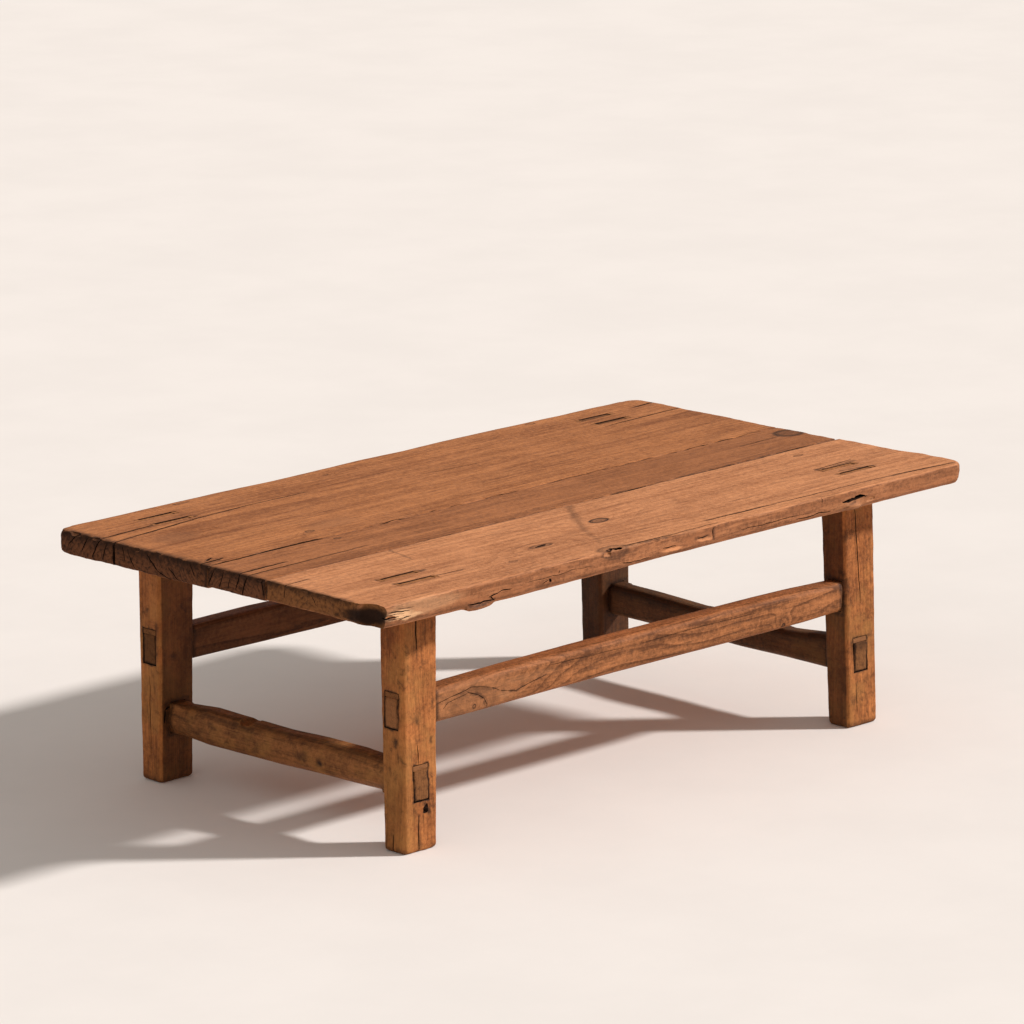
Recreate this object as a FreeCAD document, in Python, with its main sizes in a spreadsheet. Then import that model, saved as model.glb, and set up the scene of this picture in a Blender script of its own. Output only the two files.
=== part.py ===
"""Low plank table of old elm: three edge-joined boards on four leaning legs and four stretchers.

Millimetres. +Z is up, the length runs along X, the front long side faces -Y, the left end faces -X,
and the origin is on the floor under the middle of the top. Every leg ends in a double tenon that
passes through the top and is wedged there. Every stretcher ends in tenons that pass through the legs
and are wedged from outside. Round pins hidden in the seams hold the boards edge to edge.
"""
import FreeCAD, Part
import os
import Sketcher

doc = FreeCAD.newDocument("plank_table")
sheet = doc.addObject("Spreadsheet::Sheet", "Sizes")

# Driving dimensions, one row each: alias, value, what it measures
SIZES = [
    ("table_length", 1246, "length of the top"),
    ("table_width", 680, "width of the top"),
    ("table_height", 400, "floor to the upper face of the top"),
    ("back_board_thickness", 36, "thickness of the back board"),
    ("middle_board_thickness", 33, "thickness of the middle board"),
    ("front_board_thickness", 31, "thickness of the front board"),
    ("back_seam_left", 14, "Y of the back seam at the left end"),
    ("back_seam_right", 33, "Y of the back seam at the right end"),
    ("front_seam_left", -107, "Y of the front seam at the left end"),
    ("front_seam_right", -91, "Y of the front seam at the right end"),
    ("seam_gap", 0.4, "open gap along each seam"),
    ("board_corner_radius", 24, "rounding of the top's corners, seen from above"),
    ("board_arris_radius", 8, "rounding of the top's outer arrises"),
    ("leg_foot_length", 67, "leg section along X at the floor"),
    ("leg_foot_depth", 45, "leg section along Y at the floor"),
    ("leg_top_length", 71, "leg section along X under the top"),
    ("leg_top_depth", 51, "leg section along Y under the top"),
    ("leg_arris_radius", 6, "rounding of the four long arrises of a leg"),
    ("foot_chamfer", 4.5, "chamfer round the underside of a foot"),
    ("front_left_end_inset", 157, "left end of the top to the middle of the front left leg's head"),
    ("front_left_side_inset", 95, "front edge of the top to the middle of the front left leg's head"),
    ("front_left_end_splay", 13, "outward lean of the front left leg along X, head to foot"),
    ("front_left_side_splay", 17, "outward lean of the front left leg along Y, head to foot"),
    ("front_right_end_inset", 137, "right end of the top to the middle of the front right leg's head"),
    ("front_right_side_inset", 102, "front edge of the top to the middle of the front right leg's head"),
    ("front_right_end_splay", -11, "outward lean of the front right leg along X, head to foot"),
    ("front_right_side_splay", 28, "outward lean of the front right leg along Y, head to foot"),
    ("back_left_end_inset", 151, "left end of the top to the middle of the back left leg's head"),
    ("back_left_side_inset", 69, "back edge of the top to the middle of the back left leg's head"),
    ("back_left_end_splay", 6, "outward lean of the back left leg along X, head to foot"),
    ("back_left_side_splay", -5, "outward lean of the back left leg along Y, head to foot"),
    ("back_right_end_inset", 157, "right end of the top to the middle of the back right leg's head"),
    ("back_right_side_inset", 72, "back edge of the top to the middle of the back right leg's head"),
    ("back_right_end_splay", 6, "outward lean of the back right leg along X, head to foot"),
    ("back_right_side_splay", -2, "outward lean of the back right leg along Y, head to foot"),
    ("head_tenon_thickness", 11, "thickness along Y of each of a leg's two head tenons"),
    ("head_tenon_cheek", 1.5, "leg face to the outer cheek of a head tenon, along Y"),
    ("head_tenon_shoulder", 2, "leg face to the end of a head tenon, along X"),
    ("head_wedge_thickness", 6, "head wedge at the upper face of the top"),
    ("head_wedge_tip", 1.2, "head wedge at its lower end"),
    ("head_wedge_depth", 24, "how deep a head wedge goes into the top"),
    ("long_stretcher_height", 53, "height of the front and back bars"),
    ("long_stretcher_thickness", 38, "thickness along Y of the front and back bars"),
    ("long_stretcher_rounding", 9, "rounded arrises of the front and back bars"),
    ("long_tenon_height", 46, "height of the front and back bars' tenons"),
    ("long_tenon_width", 27, "width along Y of the front and back bars' tenons"),
    ("end_stretcher_height", 52, "height of the left and right bars"),
    ("end_stretcher_thickness", 42, "thickness along X of the left and right bars"),
    ("end_stretcher_rounding", 15, "rounded arrises of the left and right bars"),
    ("end_tenon_height", 46, "height of the left and right bars' tenons"),
    ("end_tenon_width", 29, "width along X of the left and right bars' tenons"),
    ("front_stretcher_level", 207, "floor to the middle of the front bar"),
    ("back_stretcher_level", 205, "floor to the middle of the back bar"),
    ("left_stretcher_level", 98, "floor to the middle of the left bar"),
    ("right_stretcher_level", 109, "floor to the middle of the right bar"),
    ("tenon_bottom_shoulder", 4, "underside of a bar to the underside of its tenon"),
    ("side_wedge_thickness", 8, "stretcher wedge at its outer end"),
    ("side_wedge_tip", 3, "stretcher wedge at its inner end"),
    ("side_wedge_reach", 34, "how deep a stretcher wedge goes into the leg"),
    ("wedge_overrun", 6, "length of wedge that is trimmed off flush with the leg"),
    ("joint_clearance", 0.2, "play round tenons and wedges"),
    ("pin_diameter", 8, "diameter of the seam pins"),
    ("pin_length", 64, "length of the seam pins"),
    ("pin_end_inset", 143, "end of the top to the first seam pin"),
    ("pin_clearance", 0.3, "play round the seam pins"),
]
PINS_PER_SEAM = 5

for row, (alias, value, note) in enumerate(SIZES, start=1):
    sheet.set(f"A{row}", note)
    sheet.set(f"B{row}", str(value))
    sheet.setAlias(f"B{row}", alias)
doc.recompute()

# Each corner of the table: its sign along X and along Y
CORNERS = {
    "front_left": (-1, -1),
    "front_right": (1, -1),
    "back_left": (-1, 1),
    "back_right": (1, 1),
}
# Each bar: its first and last leg, the axis it runs along, and the family its section belongs to
STRETCHERS = {
    "front_stretcher": ("front_left", "front_right", "x", "long"),
    "back_stretcher": ("back_left", "back_right", "x", "long"),
    "left_stretcher": ("front_left", "back_left", "y", "end"),
    "right_stretcher": ("front_right", "back_right", "y", "end"),
}
# The two tenons of a leg's head by their sign along Y, and the two ends of a tenon by their sign along X
SIDES = {"toward_front": -1, "toward_back": 1}
ENDS = {"left": -1, "right": 1}
UPRIGHT = FreeCAD.Rotation(FreeCAD.Vector(1, 0, 0), 90)
ALONG_Y = FreeCAD.Rotation(FreeCAD.Vector(1, 0, 0), -90)
# Turn about Z that points a wedge's thick end outwards, by axis and by sign along that axis
OUTWARDS = {("x", -1): 90, ("x", 1): -90, ("y", -1): 180, ("y", 1): 0}


def bind(thing, **formulas):
    """Ties properties of an object to the sheet. Underscores stand for dots, as in Placement_Base_x."""
    for prop, formula in formulas.items():
        thing.setExpression(prop.replace("_", "."), formula)


def place(thing, x, y, z, rotation=FreeCAD.Rotation()):
    """Turns an object and ties its position to the sheet."""
    thing.Placement = FreeCAD.Placement(FreeCAD.Vector(), rotation)
    bind(thing, Placement_Base_x=x, Placement_Base_y=y, Placement_Base_z=z)


def add(kind, label):
    """New object of the document with its own label."""
    thing = doc.addObject(kind, label)
    thing.Label = label
    return thing


def box(label, x, y, z):
    """Box from a low and a high formula along each axis."""
    thing = add("Part::Box", label)
    bind(thing, Length=f"({x[1]}) - ({x[0]})", Width=f"({y[1]}) - ({y[0]})", Height=f"({z[1]}) - ({z[0]})")
    place(thing, x[0], y[0], z[0])
    return thing


def fuse(label, pieces):
    """Union of several pieces as one object."""
    thing = add("Part::MultiFuse", label)
    thing.Shapes = pieces
    thing.Refine = True
    return thing


def cut(label, base, tools):
    """Base with the union of the tools taken away."""
    thing = add("Part::Cut", label)
    thing.Base = base
    thing.Tool = fuse(label + "_cutters", tools) if len(tools) > 1 else tools[0]
    thing.Refine = True
    return thing


def common(label, one, other):
    """What two pieces share."""
    thing = add("Part::Common", label)
    thing.Base = one
    thing.Tool = other
    return thing


def edge_names(feature, test):
    """Names of a feature's edges that pass a test on their two end points."""
    names = []
    for number, edge in enumerate(feature.Shape.Edges, start=1):
        if len(edge.Vertexes) == 2 and test(edge.Vertexes[0].Point, edge.Vertexes[1].Point):
            names.append(f"Edge{number}")
    return names


def round_edges(body, kind, label, formula, test):
    """Fillet or chamfer on the chosen edges of a body's last feature."""
    doc.recompute()
    base = body.Tip
    feature = body.newObject(kind, label)
    feature.Base = (base, edge_names(base, test))
    bind(feature, **{"Radius" if kind.endswith("Fillet") else "Size": formula})
    return feature


def same(one, other):
    """Whether two coordinates agree."""
    return abs(one - other) < 0.01


# Leg axes: formulas for where a leg's middle is at its head, at the floor and between
def shoulder(corner):
    """Height of the leg's shoulder, on the underside of its board."""
    side = corner.split("_")[0]
    return f"(Sizes.table_height - Sizes.{side}_board_thickness)"


def head(corner, axis):
    """Middle of the leg under the top."""
    sign = CORNERS[corner]["xy".index(axis)]
    span, inset = ("table_length", "end_inset") if axis == "x" else ("table_width", "side_inset")
    return f"({sign} * (Sizes.{span} / 2 - Sizes.{corner}_{inset}))"


def foot(corner, axis):
    """Middle of the leg on the floor."""
    sign = CORNERS[corner]["xy".index(axis)]
    splay = "end_splay" if axis == "x" else "side_splay"
    return f"({head(corner, axis)} + {sign} * Sizes.{corner}_{splay})"


def middle(corner, axis, level):
    """Middle of the leg at a height."""
    share = f"{level} / {shoulder(corner)}"
    return f"({foot(corner, axis)} + ({head(corner, axis)} - {foot(corner, axis)}) * {share})"


def half_section(corner, axis, level):
    """Half of the leg's section at a height."""
    size = "length" if axis == "x" else "depth"
    low, high = f"Sizes.leg_foot_{size}", f"Sizes.leg_top_{size}"
    return f"(({low} + ({high} - {low}) * {level} / {shoulder(corner)}) / 2)"


def bind_leg_taper(wedge, corner):
    """Four-sided taper from the foot's rectangle to the head's. It stands up once turned UPRIGHT."""
    bind(
        wedge,
        Ymin="0",
        Ymax=shoulder(corner),
        Xmin=f"{foot(corner, 'x')} - Sizes.leg_foot_length / 2",
        Xmax=f"{foot(corner, 'x')} + Sizes.leg_foot_length / 2",
        X2min=f"{head(corner, 'x')} - Sizes.leg_top_length / 2",
        X2max=f"{head(corner, 'x')} + Sizes.leg_top_length / 2",
        Zmin=f"-{foot(corner, 'y')} - Sizes.leg_foot_depth / 2",
        Zmax=f"-{foot(corner, 'y')} + Sizes.leg_foot_depth / 2",
        Z2min=f"-{head(corner, 'y')} - Sizes.leg_top_depth / 2",
        Z2max=f"-{head(corner, 'y')} + Sizes.leg_top_depth / 2",
    )


def leg_blank(corner):
    """Leg with sharp arrises and no joints, which the shoulders and flush ends are cut to."""
    blank = add("Part::Wedge", f"{corner}_blank")
    bind_leg_taper(blank, corner)
    blank.Placement = FreeCAD.Placement(FreeCAD.Vector(), UPRIGHT)
    return blank


def leg_post(corner):
    """Leg with rounded arrises and a chamfered foot, before its joints."""
    body = add("PartDesign::Body", f"{corner}_post")
    body.Placement = FreeCAD.Placement(FreeCAD.Vector(), UPRIGHT)
    taper = body.newObject("PartDesign::AdditiveWedge", f"{corner}_taper")
    bind_leg_taper(taper, corner)
    round_edges(body, "PartDesign::Fillet", f"{corner}_arrises", "Sizes.leg_arris_radius",
                lambda a, b: not same(a.y, b.y))
    round_edges(body, "PartDesign::Chamfer", f"{corner}_foot_chamfer",
                "min(Sizes.foot_chamfer; Sizes.leg_arris_radius * 0.9)",
                lambda a, b: same(a.y, 0) and same(b.y, 0))
    return body


# Head joints: two tenons per leg through the top, with a wedge at each end of each tenon
def head_tenon_spans(corner, side, play="0"):
    """Low and high formulas along X and Y of one head tenon, grown by the play."""
    x, y = head(corner, "x"), head(corner, "y")
    half = f"(Sizes.leg_top_length / 2 - Sizes.head_tenon_shoulder + {play})"
    offset = "(Sizes.leg_top_depth / 2 - Sizes.head_tenon_cheek - Sizes.head_tenon_thickness / 2)"
    line = f"({y} + {side} * {offset})"
    thick = f"(Sizes.head_tenon_thickness / 2 + {play})"
    return (f"{x} - {half}", f"{x} + {half}"), (f"{line} - {thick}", f"{line} + {thick}")


def head_tenon(label, corner, side, play="0"):
    """One head tenon from the shoulder to the upper face of the top, or the mortise for it."""
    x, y = head_tenon_spans(corner, side, play)
    return box(label, x, y, (shoulder(corner), "Sizes.table_height"))


def head_wedge(label, corner, side, end, play="0"):
    """Wedge at one end of a head tenon, driven in from above, or the pocket for it."""
    x, y = head_tenon_spans(corner, side)
    wedge = add("Part::Wedge", label)
    near = "0" if end > 0 else f"-(Sizes.head_wedge_tip + {play})"
    far = f"Sizes.head_wedge_tip + {play}" if end > 0 else "0"
    near_top = "0" if end > 0 else f"-(Sizes.head_wedge_thickness + {play})"
    far_top = f"Sizes.head_wedge_thickness + {play}" if end > 0 else "0"
    thick = f"(Sizes.head_tenon_thickness / 2 + {play})"
    bind(wedge, Ymin=f"-({play})", Ymax="Sizes.head_wedge_depth", Xmin=near, Xmax=far, X2min=near_top,
         X2max=far_top, Zmin=f"-{thick}", Zmax=thick, Z2min=f"-{thick}", Z2max=thick)
    place(wedge, x[1] if end > 0 else x[0], f"(({y[0]}) + ({y[1]})) / 2",
          "Sizes.table_height - Sizes.head_wedge_depth", UPRIGHT)
    return wedge


# Stretcher joints: a tenon through each leg, wedged from outside above the tenon
def bar_line(name):
    """Formula for the line a bar runs on, across its own axis: midway between its two legs."""
    first, last, axis = STRETCHERS[name][:3]
    across = "y" if axis == "x" else "x"
    level = f"Sizes.{name}_level"
    return f"(({middle(first, across, level)} + {middle(last, across, level)}) / 2)"


def bar_span(name, half_size, low, high, bottom, top, label):
    """Box along a bar's own axis from low to high, half_size to each side of its line."""
    axis = STRETCHERS[name][2]
    across = (f"{bar_line(name)} - {half_size}", f"{bar_line(name)} + {half_size}")
    x, y = ((low, high), across) if axis == "x" else (across, (low, high))
    return box(label, x, y, (bottom, top))


def tenon_bottom(name):
    """Height of the underside of a bar's tenons."""
    family = STRETCHERS[name][3]
    return f"(Sizes.{name}_level - Sizes.{family}_stretcher_height / 2 + Sizes.tenon_bottom_shoulder)"


def tenon_top(name):
    """Height of the upper face of a bar's tenons, which the wedges press on."""
    return f"({tenon_bottom(name)} + Sizes.{STRETCHERS[name][3]}_tenon_height)"


def tenon_in_leg(name, corner, label, play="0"):
    """Length of a bar's tenon that passes right through one leg, or the mortise for it."""
    axis, family = STRETCHERS[name][2:]
    level = f"Sizes.{name}_level"
    center, half = middle(corner, axis, level), half_section(corner, axis, level)
    half_width = f"(Sizes.{family}_tenon_width / 2 + {play})"
    return bar_span(name, half_width, f"{center} - {half} * 2", f"{center} + {half} * 2",
                    f"{tenon_bottom(name)} - {play}", f"{tenon_top(name)} + {play}", label)


def side_wedge(name, corner, label, play="0"):
    """Wedge on top of a tenon, thick end outwards and past the leg's face, or the pocket for it."""
    axis, family = STRETCHERS[name][2:]
    sign = CORNERS[corner]["xy".index(axis)]
    level = f"Sizes.{name}_level"
    half = f"(Sizes.{family}_tenon_width / 2 + {play})"
    depth = f"({half_section(corner, axis, level)} - Sizes.side_wedge_reach)"
    tip = f"{middle(corner, axis, level)} + {sign} * {depth}"
    wedge = add("Part::Wedge", label)
    bind(wedge, Ymin=f"-({play})", Ymax="Sizes.side_wedge_reach + Sizes.wedge_overrun",
         Xmin=f"-{half}", Xmax=half, X2min=f"-{half}", X2max=half, Zmin="0", Z2min="0",
         Zmax=f"Sizes.side_wedge_tip + {play}", Z2max=f"Sizes.side_wedge_thickness + {play}")
    turn = FreeCAD.Rotation(FreeCAD.Vector(0, 0, 1), OUTWARDS[axis, sign])
    x, y = (tip, bar_line(name)) if axis == "x" else (bar_line(name), tip)
    place(wedge, x, y, tenon_top(name), turn)
    return wedge


def stretcher_bar(name):
    """Bar with rounded arrises that reaches from the middle of one leg to the middle of the other."""
    first, last, axis, family = STRETCHERS[name]
    level = f"Sizes.{name}_level"
    low, high = middle(first, axis, level), middle(last, axis, level)
    thickness, height = f"Sizes.{family}_stretcher_thickness", f"Sizes.{family}_stretcher_height"
    body = add("PartDesign::Body", f"{name}_bar")
    stock = body.newObject("PartDesign::AdditiveBox", f"{name}_stock")
    run = f"{high} - {low}"
    length, width = (run, thickness) if axis == "x" else (thickness, run)
    bind(stock, Length=length, Width=width, Height=height)
    side = f"{bar_line(name)} - {thickness} / 2"
    place(body, low if axis == "x" else side, side if axis == "x" else low, f"{level} - {height} / 2")
    across = "y" if axis == "x" else "x"
    round_edges(body, "PartDesign::Fillet", f"{name}_rounding", f"Sizes.{family}_stretcher_rounding",
                lambda a, b: same(getattr(a, across), getattr(b, across)) and same(a.z, b.z))
    return body


def stretcher(name, blanks):
    """Bar cut to the faces of its two legs, with a tenon through each, flush with the outer faces."""
    ends = STRETCHERS[name][:2]
    shouldered = cut(f"{name}_shouldered", stretcher_bar(name), [blanks[corner] for corner in ends])
    tenons = []
    for corner in ends:
        length = tenon_in_leg(name, corner, f"{name}_{corner}_tenon_length")
        tenons.append(common(f"{name}_{corner}_tenon", length, blanks[corner]))
    return fuse(name, [shouldered] + tenons)


def leg(corner):
    """Leg with its two head tenons, mortised for the two bars that meet in it."""
    tenons = [head_tenon(f"{corner}_head_tenon_{side}", corner, sign) for side, sign in SIDES.items()]
    cutters = []
    for name, row in STRETCHERS.items():
        if corner in row[:2]:
            play = "Sizes.joint_clearance"
            cutters.append(tenon_in_leg(name, corner, f"{name}_{corner}_mortise", play))
            cutters.append(side_wedge(name, corner, f"{name}_{corner}_wedge_pocket", play))
    return cut(f"leg_{corner}", fuse(f"{corner}_tenoned", [leg_post(corner)] + tenons), cutters)


def head_wedges(corner):
    """The four wedges in one leg's two head tenons."""
    group = add("Part::Compound", f"head_wedges_{corner}")
    group.Links = [
        head_wedge(f"{corner}_{side}_{end}_head_wedge", corner, side_sign, end_sign)
        for side, side_sign in SIDES.items()
        for end, end_sign in ENDS.items()
    ]
    return group


# Top: each board is a padded outline whose seam edges may run slightly out of square
def seam_line(seam, end):
    """Y of a seam at one end of the top."""
    return f"Sizes.{seam}_seam_{end}"


def seam_pin(label, seam, number, play="0"):
    """One round pin across a seam, or the hole for it."""
    first = "(Sizes.pin_end_inset - Sizes.table_length / 2)"
    x = f"({first} * {1 - 2 * number / (PINS_PER_SEAM - 1)})"
    left, right = seam_line(seam, "left"), seam_line(seam, "right")
    line = f"({left} + ({right} - {left}) * ({x} / Sizes.table_length + 0.5))"
    pin = add("Part::Cylinder", label)
    bind(pin, Radius=f"Sizes.pin_diameter / 2 + {play}", Height=f"Sizes.pin_length + 2 * {play}")
    place(pin, x, f"{line} - Sizes.pin_length / 2 - {play}",
          "Sizes.table_height - Sizes.front_board_thickness / 2", ALONG_Y)
    return pin


def board_outline(body, label, back, front):
    """Sketch of a board seen from above: back and front give the Y formulas at the left and right ends."""
    sketch = body.newObject("Sketcher::SketchObject", f"{label}_outline")
    plane = next(feature for feature in body.Origin.OriginFeatures if feature.Role == "XY_Plane")
    sketch.AttachmentSupport = [(plane, "")]
    sketch.MapMode = "FlatFace"
    half = "Sizes.table_length / 2"
    corners = [
        (f"-{half}", front[0], -1, -1),
        (half, front[1], 1, -1),
        (half, back[1], 1, 1),
        (f"-{half}", back[0], -1, 1),
    ]
    start = [FreeCAD.Vector(x_sign * 100, y_sign * 100, 0) for x, y, x_sign, y_sign in corners]
    for index in range(4):
        sketch.addGeometry(Part.LineSegment(start[index], start[(index + 1) % 4]), False)
    for index in range(4):
        sketch.addConstraint(Sketcher.Constraint("Coincident", index, 2, (index + 1) % 4, 1))
    for index, (x, y, x_sign, y_sign) in enumerate(corners):
        for direction, formula, value in (("DistanceX", x, start[index].x), ("DistanceY", y, start[index].y)):
            number = sketch.addConstraint(Sketcher.Constraint(direction, index, 1, value))
            name = f"corner_{index}_{direction}"
            sketch.renameConstraint(number, name)
            sketch.setExpression(f"Constraints.{name}", formula)
    return sketch


def board(side, back, front, outer):
    """One board of the top, rounded along its outer edges, with mortises and pin holes cut."""
    label = f"{side}_board"
    thickness = f"Sizes.{label}_thickness"
    body = add("PartDesign::Body", f"{label}_plank")
    pad = body.newObject("PartDesign::Pad", f"{label}_pad")
    pad.Profile = board_outline(body, label, back, front)
    bind(pad, Length=thickness)
    place(body, "0", "0", f"Sizes.table_height - {thickness}")
    doc.recompute()
    plank = body.Shape.BoundBox
    edge = plank.YMax if outer > 0 else plank.YMin
    if outer:
        round_edges(body, "PartDesign::Fillet", f"{label}_corners", "Sizes.board_corner_radius",
                    lambda a, b: same(a.y, edge) and same(a.x, b.x) and same(a.y, b.y))
    ends = (plank.XMin, plank.XMax)
    rounding = f"min(Sizes.board_arris_radius; {thickness} * 0.4)"
    round_edges(body, "PartDesign::Fillet", f"{label}_arrises", rounding,
                lambda a, b: same(a.z, b.z) and on_outer_edge(a, b, ends, edge if outer else None))
    return cut(label, body, board_cutters(side))


def on_outer_edge(a, b, ends, edge):
    """Whether an arris lies on an end of the top, on its long outer edge, or on the corner between them."""
    along_end = same(a.x, b.x) and any(same(a.x, end) for end in ends)
    if edge is None:
        return along_end
    along_edge = same(a.y, edge) and same(b.y, edge)
    meets_end = any(same(a.x, end) or same(b.x, end) for end in ends)
    rounds_corner = same(a.y, edge) != same(b.y, edge) and meets_end
    return along_end or along_edge or rounds_corner


def board_cutters(side):
    """Mortises and wedge pockets for the legs under a board, and the pin holes in its seams."""
    cutters = []
    play = "Sizes.joint_clearance"
    for corner in CORNERS:
        if corner.startswith(side):
            for name, sign in SIDES.items():
                cutters.append(head_tenon(f"{corner}_head_mortise_{name}", corner, sign, play))
                for end, end_sign in ENDS.items():
                    label = f"{corner}_{name}_{end}_head_wedge_pocket"
                    cutters.append(head_wedge(label, corner, sign, end_sign, play))
    for seam in ("back", "front"):
        if side in (seam, "middle"):
            for number in range(PINS_PER_SEAM):
                label = f"{side}_{seam}_pin_hole_{number}"
                cutters.append(seam_pin(label, seam, number, "Sizes.pin_clearance"))
    return cutters


def seam_pins(seam):
    """All the pins of one seam."""
    group = add("Part::Compound", f"{seam}_seam_pins")
    group.Links = [seam_pin(f"{seam}_seam_pin_{number}", seam, number) for number in range(PINS_PER_SEAM)]
    return group


def seam_edges(seam, sign):
    """Y formulas at both ends for the board edge on one side of a seam."""
    return [f"{seam_line(seam, end)} + {sign} * Sizes.seam_gap / 2" for end in ("left", "right")]


def build():
    """Makes every sub-part and returns them by node name."""
    blanks = {corner: leg_blank(corner) for corner in CORNERS}
    back_edge, front_edge = ["Sizes.table_width / 2"] * 2, ["-Sizes.table_width / 2"] * 2
    nodes = [
        board("back", back_edge, seam_edges("back", 1), 1),
        board("middle", seam_edges("back", -1), seam_edges("front", 1), 0),
        board("front", seam_edges("front", -1), front_edge, -1),
    ]
    nodes += [leg(corner) for corner in CORNERS]
    nodes += [stretcher(name, blanks) for name in STRETCHERS]
    for name, row in STRETCHERS.items():
        for corner in row[:2]:
            driven = side_wedge(name, corner, f"{name}_{corner}_driven_wedge")
            nodes.append(common(f"wedge_{name}_{corner}", driven, blanks[corner]))
    nodes += [head_wedges(corner) for corner in CORNERS]
    nodes += [seam_pins(seam) for seam in ("back", "front")]
    doc.recompute()
    return {node.Label: node for node in nodes}


def check(nodes):
    """Stops if any object failed, or any sub-part is empty or not valid."""
    failed = [thing.Label for thing in doc.Objects if {"Invalid", "Error"} & set(thing.State)]
    if failed:
        raise RuntimeError(f"failed objects: {failed}")
    for label, node in nodes.items():
        if node.Shape.isNull() or not node.Shape.isValid() or not node.Shape.Solids:
            raise RuntimeError(f"{label} has no valid solid")


def write(nodes):
    """Writes one file per sub-part."""
    os.makedirs("parts", exist_ok=True)
    for label, node in nodes.items():
        node.Shape.exportStep(f"parts/{label}.step")
        print(f"{label}: {len(node.Shape.Solids)} solid(s), {node.Shape.Volume / 1000:.1f} cm3")


sub_parts = build()
check(sub_parts)
write(sub_parts)
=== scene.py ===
"""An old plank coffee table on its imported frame: three boards, four legs, four stretchers, wedges."""

import math

import bpy
from bpy.props import FloatProperty, FloatVectorProperty, PointerProperty
from mathutils import Euler, Matrix, Vector


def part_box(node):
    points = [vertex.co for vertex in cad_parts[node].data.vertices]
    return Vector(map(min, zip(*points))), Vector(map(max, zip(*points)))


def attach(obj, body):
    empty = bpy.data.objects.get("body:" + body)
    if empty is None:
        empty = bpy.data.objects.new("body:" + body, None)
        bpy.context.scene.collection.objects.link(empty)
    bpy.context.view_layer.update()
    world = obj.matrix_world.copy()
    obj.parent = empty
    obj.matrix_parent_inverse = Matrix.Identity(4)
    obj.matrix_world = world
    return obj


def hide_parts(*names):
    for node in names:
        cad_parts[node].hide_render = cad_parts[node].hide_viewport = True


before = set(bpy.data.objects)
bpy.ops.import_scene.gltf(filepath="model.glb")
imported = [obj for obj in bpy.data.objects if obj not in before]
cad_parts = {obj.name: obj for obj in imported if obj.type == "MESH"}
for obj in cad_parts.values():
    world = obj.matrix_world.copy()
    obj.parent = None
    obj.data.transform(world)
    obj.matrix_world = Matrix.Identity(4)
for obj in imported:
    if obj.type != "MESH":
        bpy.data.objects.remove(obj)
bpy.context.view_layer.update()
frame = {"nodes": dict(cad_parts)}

bl_info = {
    "name": "Plank coffee table",
    "version": (1, 0, 0),
    "blender": (4, 5, 0),
    "location": "View3D > Sidebar > Plank table",
    "description": "Models the boards, legs, stretchers and wedges of an old coffee table on its frame",
    "category": "Object",
}

LEGS = ("front_left", "front_right", "back_left", "back_right")
UP = Vector((0, 0, 1))
TO_LEFT = Vector((-1, 0, 0))
TO_FRONT = Vector((0, -1, 0))


# Sizes and colours that a user would change


def length(name, description, default):
    """A length property in metres."""
    return FloatProperty(
        name=name, description=description, default=default, min=0.0, unit="LENGTH", subtype="DISTANCE"
    )


def colour(name, description, default):
    """A colour property, in scene linear values."""
    return FloatVectorProperty(
        name=name, description=description, default=default, size=3, min=0.0, max=1.0, subtype="COLOR"
    )


def angle(name, description, degrees):
    """An angle property, given in degrees."""
    return FloatProperty(
        name=name, description=description, default=math.radians(degrees), unit="ROTATION", subtype="ANGLE"
    )


def amount(name, description, default):
    """A plain number that can't be negative."""
    return FloatProperty(name=name, description=description, default=default, min=0.0)


class TopSizes(bpy.types.PropertyGroup):
    """Sizes of the boards of the top."""

    skin: length("Skin", "Size of the faces that the boards are built from", 0.0033)
    arris: length("Arris", "Rounding of the outer arrises", 0.007)
    front_arris: length("Front arris", "Rounding of the hand-worn upper front arris", 0.016)
    unevenness: length("Unevenness", "Height of the low waves that planing and wear leave", 0.0016)
    nicks: length("Nicks", "Depth of the dents along the arrises", 0.0034)
    crack: length("Crack", "Widest opening of the drying cracks", 0.0034)
    slot_gap: length("Slot gap", "Gap round a head tenon and its wedges", 0.0007)


class FrameSizes(bpy.types.PropertyGroup):
    """Sizes of the legs and stretchers."""

    leg_skin: length("Leg skin", "Size of the faces that the legs are built from", 0.0017)
    bar_skin: length("Bar skin", "Size of the faces that the stretchers are built from", 0.0021)
    leg_arris: length("Leg arris", "Rounding of the legs' arrises", 0.006)
    foot: length("Foot", "Rounding under the feet", 0.012)
    unevenness: length("Unevenness", "Height of the low waves on legs and bars", 0.0009)
    nicks: length("Nicks", "Depth of the dents along the arrises", 0.0016)
    mortise_gap: length("Mortise gap", "Gap round a stretcher's tenon in its leg", 0.0011)
    crack: length("Crack", "Widest opening of the cracks in the legs", 0.0018)


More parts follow.
